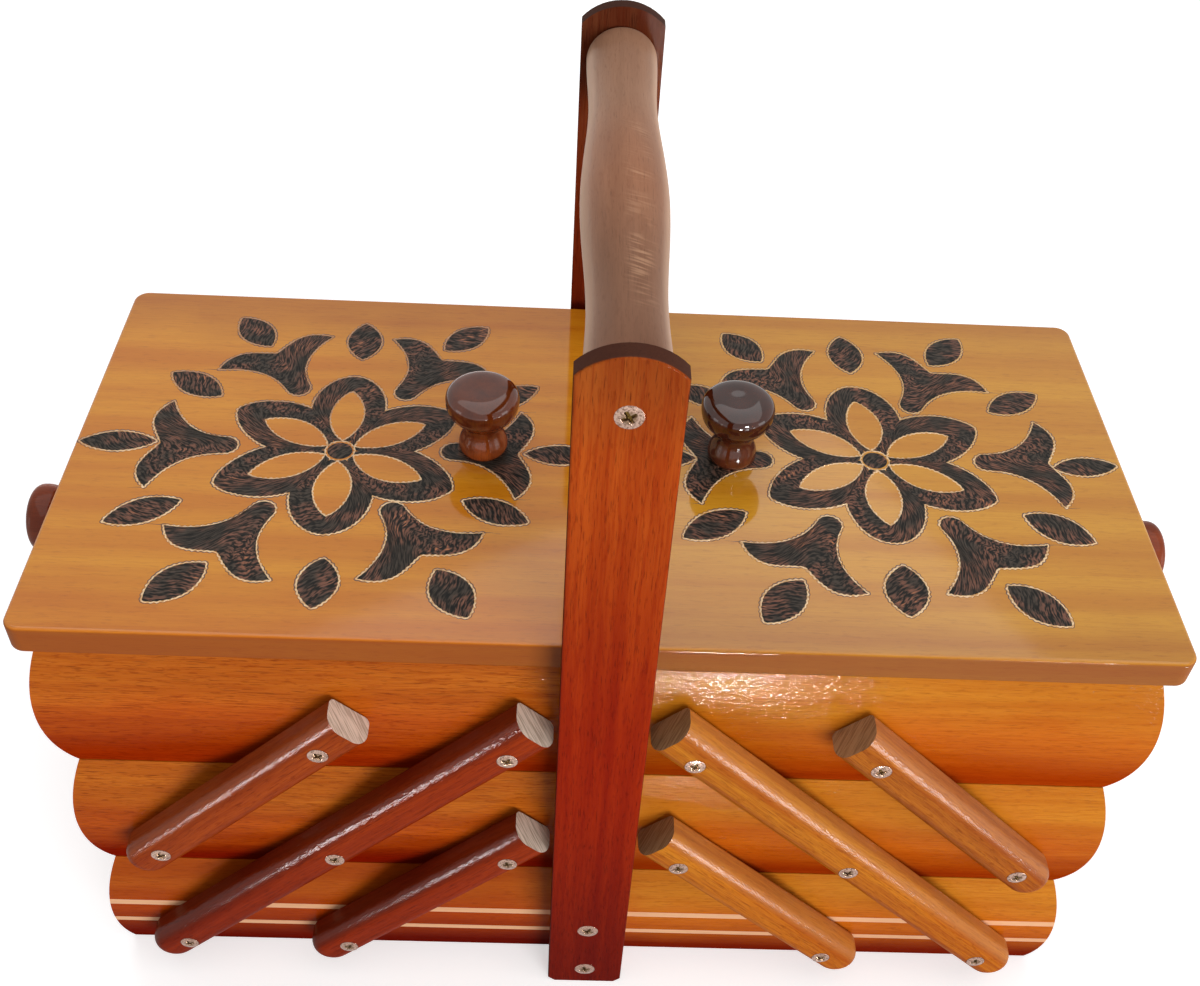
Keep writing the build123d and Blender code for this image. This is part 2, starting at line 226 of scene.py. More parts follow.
# --- shader graphs ---------------------------------------------------------------------
class Graph:
    """A material's node tree, with short calls for the nodes that the finishes share."""

    def __init__(self, name: str) -> None:
        """Start an empty material with a Principled shader joined to its output.

        Args:
            name: name of the material.
        """
        self.material = bpy.data.materials.new(name)
        self.material.use_nodes = True
        self.tree = self.material.node_tree
        self.tree.nodes.clear()
        self.output = self.tree.nodes.new("ShaderNodeOutputMaterial")
        self.shader = self.tree.nodes.new("ShaderNodeBsdfPrincipled")
        self.link(self.shader.outputs["BSDF"], self.output.inputs["Surface"])

    def link(self, source: Socket, target: Socket) -> None:
        """Join two sockets."""
        self.tree.links.new(source, target)

    def feed(self, target: Socket, value: object) -> None:
        """Give a socket a constant, or join it to another socket.

        Args:
            target: the socket that takes it.
            value: a number, a colour or a socket.
        """
        if isinstance(value, Socket):
            self.link(value, target)
        elif isinstance(value, tuple) and len(value) == 3 and target.type == "RGBA":
            target.default_value = (*value, 1.0)
        else:
            target.default_value = value

    def give(self, name: str, value: object) -> None:
        """Give one of the shader's sockets a constant, or join it to another socket."""
        self.feed(self.shader.inputs[name], value)

    def coordinate(self, which: str) -> Socket:
        """Object place or object normal."""
        return self.tree.nodes.new("ShaderNodeTexCoord").outputs[which]

    def attribute(self, name: str, output: str = "Fac") -> Socket:
        """A vertex value of the piece, or its vector.

        Args:
            name: name of the attribute.
            output: Fac for the value, or Vector.

        Returns:
            The value's socket.
        """
        node = self.tree.nodes.new("ShaderNodeAttribute")
        node.attribute_name = name
        return node.outputs[output]

    def warped(self, vector: Socket, size: float, amount: float) -> Socket:
        """Move coordinates by smooth noise of -0.5 to 0.5, times an amount.

        Args:
            vector: the coordinates.
            size: length of the noise's waves in metres.
            amount: the most they move, twice over.

        Returns:
            The moved coordinates.
        """
        node = self.tree.nodes.new("ShaderNodeTexNoise")
        node.inputs["Scale"].default_value = 1 / size
        node.inputs["Detail"].default_value = 2.0
        self.link(vector, node.inputs["Vector"])
        centred = self.tree.nodes.new("ShaderNodeVectorMath")
        centred.operation = "SUBTRACT"
        self.link(node.outputs["Color"], centred.inputs[0])
        centred.inputs[1].default_value = (0.5, 0.5, 0.5)
        moved = self.tree.nodes.new("ShaderNodeVectorMath")
        moved.operation = "MULTIPLY_ADD"
        self.link(centred.outputs["Vector"], moved.inputs[0])
        moved.inputs[1].default_value = (amount, amount, amount)
        self.link(vector, moved.inputs[2])
        return moved.outputs["Vector"]

    def mapping(self, source: Socket, move: Triple = (0, 0, 0), turn: Triple = (0, 0, 0),
                scale: Triple = (1, 1, 1)) -> Socket:
        """Scale, turn and move coordinates, in that order.

        Args:
            source: the coordinates.
            move, turn, scale: the steps, the turn in radians about each axis.

        Returns:
            The new coordinates.
        """
        node = self.tree.nodes.new("ShaderNodeMapping")
        node.inputs["Location"].default_value = move
        node.inputs["Rotation"].default_value = turn
        node.inputs["Scale"].default_value = scale
        self.link(source, node.inputs["Vector"])
        return node.outputs["Vector"]

    def noise(self, vector: Socket, scale: float = 1.0, detail: float = 3.0,
              roughness: float = 0.5) -> Socket:
        """Smooth noise of 0 to 1.

        Args:
            vector: the coordinates.
            scale: cells in a metre of them.
            detail: how many finer layers it has.
            roughness: weight of each finer layer.

        Returns:
            The noise.
        """
        node = self.tree.nodes.new("ShaderNodeTexNoise")
        node.inputs["Scale"].default_value = scale
        node.inputs["Detail"].default_value = detail
        node.inputs["Roughness"].default_value = roughness
        self.link(vector, node.inputs["Vector"])
        return node.outputs["Fac"]

    def math(self, operation: str, first: object, second: object = 0.0) -> Socket:
        """One arithmetic step.

        Args:
            operation: name of the step.
            first, second: numbers or sockets.

        Returns:
            The result.
        """
        node = self.tree.nodes.new("ShaderNodeMath")
        node.operation = operation
        self.feed(node.inputs[0], first)
        self.feed(node.inputs[1], second)
        return node.outputs[0]

    def step(self, value: Socket, low: float, high: float) -> Socket:
        """S-curve that rises from 0 at low to 1 at high, or falls where low is the higher.

        Args:
            value: what it is a curve of.
            low, high: where it starts and ends.

        Returns:
            The curve's value.
        """
        node = self.tree.nodes.new("ShaderNodeMapRange")
        node.interpolation_type = "SMOOTHSTEP"
        rising = low < high
        node.inputs["From Min"].default_value = min(low, high)
        node.inputs["From Max"].default_value = max(low, high)
        node.inputs["To Min"].default_value = 0.0 if rising else 1.0
        node.inputs["To Max"].default_value = 1.0 if rising else 0.0
        self.link(value, node.inputs["Value"])
        return node.outputs["Result"]

    def mix(self, share: object, first: object, second: object, blend: str = "MIX") -> Socket:
        """Blend of two colours.

        Args:
            share: how much of the second, from 0 to 1.
            first, second: the colours.
            blend: name of the way of blending.

        Returns:
            The blended colour.
        """
        node = self.tree.nodes.new("ShaderNodeMix")
        node.data_type = "RGBA"
        node.blend_type = blend
        self.feed(node.inputs["Factor"], share)
        self.feed(node.inputs[6], first)
        self.feed(node.inputs[7], second)
        return node.outputs[2]

    def along(self, vector: Socket, axis: Triple) -> Socket:
        """Share of a vector along an axis: their dot product.

        Args:
            vector: the vector.
            axis: the axis.

        Returns:
            The share.
        """
        node = self.tree.nodes.new("ShaderNodeVectorMath")
        node.operation = "DOT_PRODUCT"
        self.link(vector, node.inputs[0])
        node.inputs[1].default_value = axis
        return node.outputs["Value"]

    def bump(self, height: Socket, depth: float) -> Socket:
        """Normal of a surface that rises by depth metres where height is 1.

        Args:
            height: height of the surface.
            depth: its scale in metres.

        Returns:
            The normal.
        """
        node = self.tree.nodes.new("ShaderNodeBump")
        node.inputs["Distance"].default_value = depth
        self.link(height, node.inputs["Height"])
        return node.outputs["Normal"]


# --- finishes --------------------------------------------------------------------------
PIVOT_PITCH = 62.5 * MM
TIER_PITCH = 64.5 * MM
ARM_LEAN = math.atan2(TIER_PITCH, PIVOT_PITCH)

WAVER_SIZE, WAVER_REACH = 30 * MM, 2.2 * MM
FLECK_LENGTH, FLECK_WIDTH = 5 * MM, 1.0 * MM
PORE_LENGTH, PORE_WIDTH = 7 * MM, 0.32 * MM
CLOUD_SCALE: Triple = (9.0, 22.0, 22.0)
BAND_SHARE = 0.65
STROKE_CELLS: Triple = (1 / (4.2 * MM), 1 / (0.85 * MM), 1.0)
TICK_CELLS: Triple = (1 / (2.2 * MM), 1 / (0.5 * MM), 1.0)
FLECK_BROWN: Colour = (0.60, 0.42, 0.30)
SHEEN_TINT: Colour = (0.86, 0.66, 0.5)


class Grain(Enum):
    """Which way a board's fibres run, as the turn that brings them onto the X axis."""

    ALONG_X = (0.0, 0.0, 0.0)
    ALONG_Y = (0.0, 0.0, -math.pi / 2)
    ALONG_Z = (0.0, math.pi / 2, 0.0)
    LEFT_ARM = (0.0, ARM_LEAN, 0.0)
    RIGHT_ARM = (0.0, -ARM_LEAN, 0.0)


@dataclass(frozen=True)
class FaceStain:
    """A second colour on the faces that look along an axis, or away from it too.

    It comes in as the cosine to the axis goes from low to high, and turned_away lays it on the
    other faces instead. It is laid on by a share, and keeps some of the colour below it. A streak
    is the colour of short fibres in it.
    """

    axis: Triple
    colour: Colour
    low: float
    high: float
    both_ways: bool = False
    share: float = 1.0
    turned_away: bool = False
    keep: float = 0.3
    streak: Optional[Colour] = None


@dataclass(frozen=True)
class Tint:
    """A colour multiplied in, that deepens from one place along an axis to another.

    The places waver by up to half of waver metres.
    """

    start: float
    end: float
    colour: Colour
    axis: Triple = UP
    waver: float = 0.0


@dataclass(frozen=True)
class Polish:
    """How the lacquer's weight changes with the way a face looks.

    It rises from aside to the full coat as the cosine to the axis goes from low to high.
    """

    aside: float
    axis: Triple = UP
    low: float = 0.55
    high: float = 0.95
    both_ways: bool = True


@dataclass(frozen=True)
class Curl:
    """Pale curly marks across a strip of wood that runs from front to back.

    The strip lies half metres to each side of middle, between front and back, and fades there.
    """

    colour: Colour
    middle: float
    half: float
    front: float
    back: float
    share: float = 0.42
    bow: float = 60.0
    mark_width: float = 8 * MM
    mark_depth: float = 1.1 * MM
    fade: float = 15 * MM


@dataclass(frozen=True)
class WoodFinish:
    """Stained and lacquered wood: growth bands, fibres, flecks and pores below a clear coat."""

    name: str
    early: Colour
    late: Colour
    pore: Colour
    grain: Grain = Grain.ALONG_X
    band_width: float = 9 * MM
    band_length: float = 220 * MM
    band_contrast: float = 1.0
    fibre_width: float = 0.55 * MM
    fibre_length: float = 16 * MM
    fibre_share: float = 0.35
    fleck_share: float = 0.3
    pore_share: float = 0.3
    relief: float = 0.05 * MM
    roughness: float = 0.5
    coat: float = 0.2
    polish: Optional[Polish] = None
    coat_roughness: float = 0.10
    coat_ripple: float = 0.03 * MM
    ripple_size: float = 1.3 * MM
    sheen: float = 0.0
    seed: Triple = (0.0, 0.0, 0.0)
    stains: tuple[FaceStain, ...] = ()
    tints: tuple[Tint, ...] = ()
    curl: Optional[Curl] = None

    @lru_cache(maxsize=None)
    def material(self) -> bpy.types.Material:
        """Build the node material once.

        Returns:
            A Principled material whose pattern follows the grain in object coordinates.
        """
        g = Graph(self.name)
        place = g.coordinate("Object")
        shifted = g.mapping(g.mapping(place, turn=self.grain.value), move=self.seed)
        colour, height = self.timber(g, shifted)
        colour = self.stained(g, colour, place)
        if self.curl:
            colour = self.curled(g, colour, place)
        g.give("Base Color", colour)
        g.give("Normal", g.bump(height, self.relief))
        g.give("Roughness", self.roughness)
        g.give("Specular IOR Level", 0.0)
        g.give("Sheen Weight", self.sheen)
        g.give("Sheen Roughness", 0.4)
        g.give("Sheen Tint", SHEEN_TINT)
        self.lacquer(g, shifted)
        return g.material

    def timber(self, g: Graph, shifted: Socket) -> tuple[Socket, Socket]:
        """Draw the bare wood: growth bands, with fibres, flecks and pores over them.

        Args:
            g: the material's graph.
            shifted: coordinates whose X axis runs along the grain.

        Returns:
            The wood's colour and the height of its surface.
        """
        wavering = g.warped(shifted, WAVER_SIZE, WAVER_REACH)
        bands = self.streaks(g, wavering, self.band_length, self.band_width, detail=3.0)
        fibre = self.streaks(g, wavering, self.fibre_length, self.fibre_width, detail=3.0)
        flecks = self.streaks(g, wavering, FLECK_LENGTH, FLECK_WIDTH, detail=2.0)
        pores = self.streaks(g, shifted, PORE_LENGTH, PORE_WIDTH, detail=1.0)
        cloud = g.noise(g.mapping(shifted, scale=CLOUD_SCALE), detail=2.0)
        span = 0.22 / self.band_contrast
        band = g.math("MULTIPLY", g.step(bands, 0.5 - span, 0.5 + span), BAND_SHARE)
        band = g.math("ADD", band, g.math("MULTIPLY", cloud, 1 - BAND_SHARE))
        fibre_mask = g.math("MULTIPLY", g.step(fibre, 0.42, 0.68), self.fibre_share)
        fleck_mask = g.math("MULTIPLY", g.step(flecks, 0.56, 0.70), self.fleck_share)
        pore_mask = g.math("MULTIPLY", g.step(pores, 0.62, 0.74), self.pore_share)
        colour = g.mix(band, self.late, self.early)
        colour = g.mix(fibre_mask, colour, self.late)
        colour = g.mix(fleck_mask, colour, FLECK_BROWN, "MULTIPLY")
        colour = g.mix(pore_mask, colour, self.pore)
        raised = g.math("ADD", fibre, g.math("MULTIPLY", flecks, 0.7))
        return colour, g.math("SUBTRACT", raised, g.math("MULTIPLY", pore_mask, 1.5))

    def lacquer(self, g: Graph, shifted: Socket) -> None:
        """Lay the clear coat, with its weight by the polish and its own slow ripples.

        Args:
            g: the material's graph.
            shifted: coordinates whose X axis runs along the grain.
        """
        g.give("Coat Weight", self.coat)
        g.give("Coat Roughness", self.coat_roughness)
        if self.polish:
            facing = g.along(g.coordinate("Normal"), self.polish.axis)
            if self.polish.both_ways:
                facing = g.math("ABSOLUTE", facing)
            share = g.step(facing, self.polish.low, self.polish.high)
            weight = g.math("MULTIPLY", share, self.coat - self.polish.aside)
            g.give("Coat Weight", g.math("ADD", weight, self.polish.aside))
        if self.coat > 0:
            along, across = 0.6 / self.ripple_size, 1 / self.ripple_size
            lumps = g.noise(g.mapping(shifted, scale=(along, across, across)), detail=1.0)
            g.give("Coat Normal", g.bump(lumps, self.coat_ripple))

    def streaks(self, g: Graph, vector: Socket, length: float, width: float, detail: float) -> Socket:
        """Noise drawn out along the grain, with cells of a length and a width."""
        return g.noise(g.mapping(vector, scale=(1 / length, 1 / width, 1 / width)), detail=detail,
                       roughness=0.58)

    def stained(self, g: Graph, colour: Socket, place: Socket) -> Socket:
        """Lay the tints and face stains over a colour.

        Args:
            g: the material's graph.
            colour: the colour so far.
            place: object coordinates.

        Returns:
            The stained colour.
        """
        for tint in self.tints:
            where = g.along(place, tint.axis)
            if tint.waver:
                drift = g.math("SUBTRACT", g.noise(place, scale=28.0, detail=2.0), 0.5)
                where = g.math("ADD", where, g.math("MULTIPLY", drift, tint.waver))
            colour = g.mix(g.step(where, tint.start, tint.end), colour, tint.colour, "MULTIPLY")
        normal = g.coordinate("Normal")
        for stain in self.stains:
            facing = g.along(normal, stain.axis)
            if stain.both_ways:
                facing = g.math("ABSOLUTE", facing)
            low, high = (stain.high, stain.low) if stain.turned_away else (stain.low, stain.high)
            mask = g.math("MULTIPLY", g.step(facing, low, high), stain.share)
            tone = stain.colour
            if stain.streak:
                across = g.mapping(g.mapping(place, turn=self.grain.value),
                                   turn=(-math.pi / 4, 0.0, -math.pi / 2))
                lines = self.streaks(g, across, 9 * MM, 0.5 * MM, detail=2.0)
                tone = g.mix(g.step(lines, 0.40, 0.62), tone, stain.streak)
            colour = g.mix(mask, colour, g.mix(stain.keep, tone, colour))
        return colour

    def curled(self, g: Graph, colour: Socket, place: Socket) -> Socket:
        """Lay the curly marks over a colour.

        The marks are noise of places (x, y - b (x - m)^2, z), short along y, so that each mark bows
        towards the back at the strip's rims.

        Args:
            g: the material's graph.
            colour: the colour so far.
            place: object coordinates.

        Returns:
            The colour with its marks.
        """
        curl = self.curl
        x, y = g.along(place, LENGTHWISE), g.along(place, BACKWARDS)
        off = g.math("SUBTRACT", x, curl.middle)
        bow = g.math("MULTIPLY", g.math("MULTIPLY", off, off), curl.bow)
        bent = g.tree.nodes.new("ShaderNodeCombineXYZ")
        g.feed(bent.inputs["X"], x)
        g.feed(bent.inputs["Y"], g.math("SUBTRACT", y, bow))
        cells = g.mapping(bent.outputs[0], scale=(1 / curl.mark_width, 1 / curl.mark_depth, 1.0))
        marks = g.noise(cells, detail=0.0)
        patch = g.noise(place, scale=70.0, detail=1.0)
        mask = g.math("MULTIPLY", g.step(marks, 0.42, 0.66), g.step(patch, 0.40, 0.60))
        mask = g.math("MULTIPLY", mask, curl.share)
        mask = g.math("MULTIPLY", mask, g.step(g.math("ABSOLUTE", off), curl.half, 0.0))
        mask = g.math("MULTIPLY", mask, g.step(y, curl.front, curl.front + curl.fade))
        mask = g.math("MULTIPLY", mask, g.step(y, curl.back, curl.back - curl.fade))
        upward = g.step(g.along(g.coordinate("Normal"), UP), 0.0, 0.4)
        return g.mix(g.math("MULTIPLY", mask, upward), colour, curl.colour)


@dataclass(frozen=True)
class MetalFinish:
    """Plated metal with a slightly worn face, and painted shade where the piece says so."""

    name: str
    colour: Colour
    dull: Colour
    recess_shade: Optional[Colour] = None
    roughness: float = 0.28
    wear_size: float = 0.6 * MM

    @lru_cache(maxsize=None)
    def material(self) -> bpy.types.Material:
        """Build the node material once.

        Returns:
            A metal, dulled in spots of noise and coloured anew where the recess attribute is 1.
        """
        g = Graph(self.name)
        place = g.coordinate("Object")
        wear = g.noise(place, scale=1 / self.wear_size)
        colour = g.mix(g.step(wear, 0.42, 0.7), self.colour, self.dull)
        if self.recess_shade:
            colour = g.mix(g.attribute("recess"), colour, self.recess_shade)
        g.give("Base Color", colour)
        g.give("Metallic", 1.0)
        g.give("Roughness", self.roughness)
        g.give("Normal", g.bump(wear, 0.02 * MM))
        return g.material


@dataclass(frozen=True)
class BurntFinish:
    """Wood burnt with a hot iron: slanting strokes of charcoal, with red-brown left between them."""

    name: str
    char: Colour = linear(74, 65, 57)
    soot: Colour = linear(18, 17, 14)
    ember: Colour = linear(140, 92, 74)
    bare: Colour = linear(214, 140, 92)
    roughness: float = 0.5
    coat: float = 0.10

    @lru_cache(maxsize=None)
    def material(self) -> bpy.types.Material:
        """Build the node material once.

        Returns:
            A charred wood, with its strokes drawn in each band's own frame.
        """
        g = Graph(self.name)
        place = g.coordinate("Object")
        way = g.attribute("way", "Vector")
        strokes = g.noise(g.mapping(way, scale=STROKE_CELLS), detail=1.0)
        ticks = g.noise(g.mapping(way, scale=TICK_CELLS), detail=1.0)
        patch = g.noise(place, scale=95.0, detail=2.0)
        light = g.math("ADD", g.math("MULTIPLY", strokes, 0.6), g.math("MULTIPLY", ticks, 0.4))
        grey = g.mix(g.step(light, 0.40, 0.62), self.soot, self.char)
        warm = g.math("MULTIPLY", g.step(light, 0.46, 0.60), g.step(patch, 0.40, 0.58))
        colour = g.mix(g.math("MULTIPLY", warm, 0.8), grey, self.ember)
        spared = g.math("MULTIPLY", g.step(light, 0.56, 0.66), g.step(patch, 0.58, 0.68))
        colour = g.mix(g.math("MULTIPLY", spared, 0.7), colour, self.bare)
        g.give("Base Color", colour)
        g.give("Roughness", self.roughness)
        g.give("Specular IOR Level", 0.08)
        g.give("Coat Weight", self.coat)
        g.give("Coat Roughness", 0.2)
        bumped = g.bump(light, 0.35 * MM)
        g.give("Normal", bumped)
        g.give("Coat Normal", bumped)
        return g.material


@dataclass(frozen=True)
class LineFinish:
    """A thin cut line, mottled between two colours and duller towards the box's back."""

    name: str
    light: Colour
    dark: Colour
    back: Optional[Colour] = None
    roughness: float = 0.5
    coat: float = 0.3
    mottle: float = 1.6 * MM

    @lru_cache(maxsize=None)
    def material(self) -> bpy.types.Material:
        """Build the node material once.

        Returns:
            A mottled wood, whose second colour comes in towards the back.
        """
        g = Graph(self.name)
        place = g.coordinate("Object")
        spots = g.noise(place, scale=1 / self.mottle)
        colour = g.mix(g.step(spots, 0.36, 0.56), self.dark, self.light)
        if self.back:
            drift = g.noise(place, scale=45.0, detail=1.0)
            drift = g.math("MULTIPLY", g.math("SUBTRACT", drift, 0.5), 0.09)
            where = g.math("ADD", g.along(place, BACKWARDS), drift)
            colour = g.mix(g.math("MULTIPLY", g.step(where, -0.03, 0.05), 0.8), colour, self.back)
        g.give("Base Color", colour)
        g.give("Roughness", self.roughness)
        g.give("Coat Weight", self.coat)
        g.give("Coat Roughness", 0.15)
        g.give("Normal", g.bump(spots, 0.04 * MM))
        return g.material


Finish = WoodFinish | MetalFinish | BurntFinish | LineFinish


def dress(node: str, finish: Finish) -> None:
    """Give a carried-over node its finish in every material slot.

    Args:
        node: name of the node.
        finish: what it is given.
    """
    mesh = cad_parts[node].data
    material = finish.material()
    if not mesh.materials:
        mesh.materials.append(material)
    for index in range(len(mesh.materials)):
        mesh.materials[index] = material


def settle(piece: bpy.types.Object, finish: Finish, body: str) -> None:
    """Finish a new piece, and make it ride on its body.

    Args:
        piece: the object.
        finish: what it is given.
        body: name of the body that carries it.
    """
    piece.data.materials.append(finish.material())
    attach(piece, body)
    LOG.info("%s: %d faces on %s", piece.name, len(piece.data.polygons), body)


class Side(Enum):
    """Left and right half of the box, with the sign of X there."""

    LEFT = -1
    RIGHT = 1

    @property
    def prefix(self) -> str:
        """Start of this side's node and body names."""
        return self.name.lower()


# --- the woods of this box -------------------------------------------------------------
RED_BROWN = dict(early=linear(164, 58, 14), late=linear(124, 36, 8), pore=linear(60, 20, 8))
LIGHT_AMBER = dict(early=linear(212, 136, 36), late=linear(160, 74, 18), pore=linear(104, 46, 12))
MAHOGANY = dict(early=linear(195, 92, 27), late=linear(153, 47, 8), pore=linear(92, 24, 6))
BARE = dict(early=linear(206, 158, 104), late=linear(184, 130, 78), pore=linear(140, 92, 54))

HONEY = {
    Side.LEFT: dict(early=linear(228, 154, 36), late=linear(200, 113, 16), pore=linear(124, 66, 16)),
    Side.RIGHT: dict(early=linear(221, 158, 43), late=linear(193, 118, 21), pore=linear(124, 70, 18)),
}
LID_BACKS = {Side.LEFT: (0.74, 0.62, 0.50), Side.RIGHT: (0.86, 0.80, 0.75)}
LID_FRONTS = {Side.LEFT: (0.94, 0.80, 0.62), Side.RIGHT: (0.84, 0.78, 0.75)}
LID_EDGES = {Side.LEFT: linear(116, 46, 32), Side.RIGHT: linear(128, 62, 50)}

INNER_ARMS = {Side.LEFT: RED_BROWN, Side.RIGHT: LIGHT_AMBER}
# Painted light on the inner arms' upper faces: shade on the left, sheen on the right.
INNER_ARM_TOP_SHADE_AND_SHEEN = {Side.LEFT: linear(76, 38, 22), Side.RIGHT: linear(206, 150, 84)}
OUTER_ARMS = {
    Side.LEFT: dict(early=linear(176, 78, 24), late=linear(132, 46, 12), pore=linear(66, 24, 10)),
    Side.RIGHT: dict(early=linear(194, 114, 34), late=linear(144, 64, 18), pore=linear(96, 42, 14)),
}
# Painted light on the outer arms' upper faces: shade on the left, sheen on the right.
OUTER_ARM_TOP_SHADE_AND_SHEEN = {Side.LEFT: linear(132, 74, 42), Side.RIGHT: linear(172, 128, 96)}
ARM_TOP_SHADE_AND_SHEEN_SHARES = {Side.LEFT: 0.6, Side.RIGHT: 0.45}
ARM_ENDS = {Side.LEFT: linear(222, 202, 184), Side.RIGHT: linear(170, 134, 98)}
ARM_END_LINES = {Side.LEFT: linear(178, 158, 140), Side.RIGHT: linear(140, 108, 78)}
# Painted shade multiplied in towards each arm's lower end.
ARM_FOOT_SHADES = {Side.LEFT: (0.80, 0.62, 0.62), Side.RIGHT: (0.93, 0.74, 0.6)}


def lid_wood(side: Side) -> WoodFinish:
    """Honey lid with its grain along the box, browner towards its back and front, and redder edges.

    Args:
        side: which lid.

    Returns:
        The finish.
    """
    tints = (Tint(0.050, 0.086, LID_BACKS[side], BACKWARDS, waver=0.03),
             Tint(-0.058, -0.086, LID_FRONTS[side], BACKWARDS, waver=0.025))
    edges = FaceStain(UP, LID_EDGES[side], 0.35, 0.8, both_ways=True, turned_away=True, keep=0.38)
    return WoodFinish(f"lid_wood_{side.prefix}", **HONEY[side],
                      band_width=15 * MM, band_length=420 * MM, band_contrast=1.35,
                      fibre_share=0.34, fleck_share=0.24, pore_share=0.20,
                      coat=1.0, polish=Polish(0.15, both_ways=False), coat_roughness=0.07,
                      coat_ripple=0.008 * MM, ripple_size=5 * MM, relief=0.04 * MM,
                      seed=(side.value * 3.1, 1.7, 0.4), tints=tints, stains=(edges,))


def wall_wood(name: str, grain: Grain, inward: Triple, low: float, high: float, colours: dict[str, object],
              foot: Colour, seed: Triple, tints: tuple[Tint, ...]) -> WoodFinish:
    """Amber board with painted shade, redder over its lower half and darker at its foot, and paler inside the
    tray.

    Args:
        name: name of the material.
        grain: way of its fibres.
        inward: direction towards the inside of the tray.
        low, high: heights of its foot and rim.
        colours: its early wood, late wood and pores, and the shares of fibres, flecks and pores.
        foot: the painted shade that its colour is multiplied by at the foot.
        seed: shifts the pattern.
        tints: further tints.

    Returns:
        The finish.
    """
    middle, half = (low + high) / 2, (high - low) / 2
    # Painted shade: the lower half of the bulged board is redder and its foot darker, where it turns down
    # from the light.
    painted_lower_shade = Tint(middle + 0.62 * half, middle, (0.93, 0.62, 0.42), waver=0.016)
    base = Tint(middle + 0.05 * half, middle - 0.85 * half, foot, waver=0.010)
    inside = FaceStain(inward, linear(190, 126, 62), 0.6, 0.9, share=0.85)
    return WoodFinish(name, **colours, grain=grain, seed=seed, relief=0.16 * MM,
                      coat=0.12, polish=Polish(0.0, UP, -0.30, 0.12, both_ways=False),
                      coat_roughness=0.10, coat_ripple=0.24 * MM, ripple_size=1.0 * MM,
                      tints=(painted_lower_shade, base) + tints, stains=(inside,))


def arm_wood(side: Side, outer: bool) -> WoodFinish:
    """Arm with its grain along its length and bare end grain where it is cut square. It has painted shade
    towards its lower end, and painted light on its upper faces: shade on the left, sheen on the right.

    Args:
        side: which half of the box it is on.
        outer: whether it is the outer arm that carries the lid's tray, which is paler on the left
            and redder on the right.

    Returns:
        The finish.
    """
    colours, shoulder_light = (OUTER_ARMS, OUTER_ARM_TOP_SHADE_AND_SHEEN) if outer else (INNER_ARMS, INNER_ARM_TOP_SHADE_AND_SHEEN)
    lengthwise = (-side.value * math.cos(ARM_LEAN), 0.0, math.sin(ARM_LEAN))
    shoulder = (side.value * math.sin(ARM_LEAN), 0.0, math.cos(ARM_LEAN))
    return WoodFinish(f"arm_wood_{side.prefix}_{'outer' if outer else 'inner'}", **colours[side],
                      grain=Grain.LEFT_ARM if side is Side.LEFT else Grain.RIGHT_ARM,
                      band_width=5 * MM, band_contrast=1.3,
                      fibre_share=0.6, fleck_share=0.5, pore_share=0.4, relief=0.12 * MM,
                      coat=0.10, polish=Polish(0.28, BACKWARDS), coat_roughness=0.17,
                      coat_ripple=0.16 * MM, ripple_size=0.9 * MM,
                      # Painted shade: darker towards the arm's lower end.
                      tints=(Tint(0.13, 0.03, ARM_FOOT_SHADES[side], waver=0.03),),
                      # Painted light on the upper faces (shade on the left, sheen on the right); then the end
                      # grain.
                      stains=(FaceStain(shoulder, shoulder_light[side], 0.25, 0.8, share=ARM_TOP_SHADE_AND_SHEEN_SHARES[side]),
                              FaceStain(lengthwise, ARM_ENDS[side], 0.9, 0.97, keep=0.05,
                                        streak=ARM_END_LINES[side])))


def post_wood() -> WoodFinish:
    """Mahogany post, darker on its narrow edges, with painted shade: deeper red towards its foot, and darker
    on the back post.

    Returns:
        The finish.
    """
    # Painted shade: the first two tints deepen the red towards the foot, and the last darkens the back post.
    deeper = (Tint(0.33, 0.15, (0.72, 0.25, 0.15), waver=0.02),
              Tint(0.15, 0.0, (0.50, 0.34, 0.8), waver=0.02),
              Tint(0.285, 0.325, (0.70, 0.86, 1.2), waver=0.03),
              Tint(0.0, 0.09, (0.36, 0.46, 1.3), BACKWARDS))
    edges = FaceStain(BACKWARDS, linear(70, 44, 35), 0.3, 0.75, both_ways=True, turned_away=True, keep=0.08)
    return WoodFinish("post_wood", **MAHOGANY, grain=Grain.ALONG_Z, band_width=6 * MM,
                      fibre_width=0.8 * MM, fibre_length=22 * MM,
                      fibre_share=0.55, fleck_share=0.4, pore_share=0.6, relief=0.14 * MM,
                      coat=0.07, coat_roughness=0.16, tints=deeper, stains=(edges,))


# --- carved ornament -------------------------------------------------------------------
@dataclass
class Leaf:
    """A pointed leaf, placed by the way from the rosette's middle."""

    angle: float
    reach: float
    length: float
    width: float
    lean: float = 0.0


@dataclass(frozen=True)
class Freehand:
    """How far a rosette's motifs stray from their even places, by their angle in degrees.

    A petal strays by a turn in degrees, a tulip by a move along X and Y in millimetres, and a
    leaf by such a move, a growth in length and width, and a further lean in degrees.
    """

    petals: tuple[float, float, float, float, float, float]
    tulips: dict[int, tuple[float, float]]
    leaves: dict[int, tuple[float, float, float, float, float]]


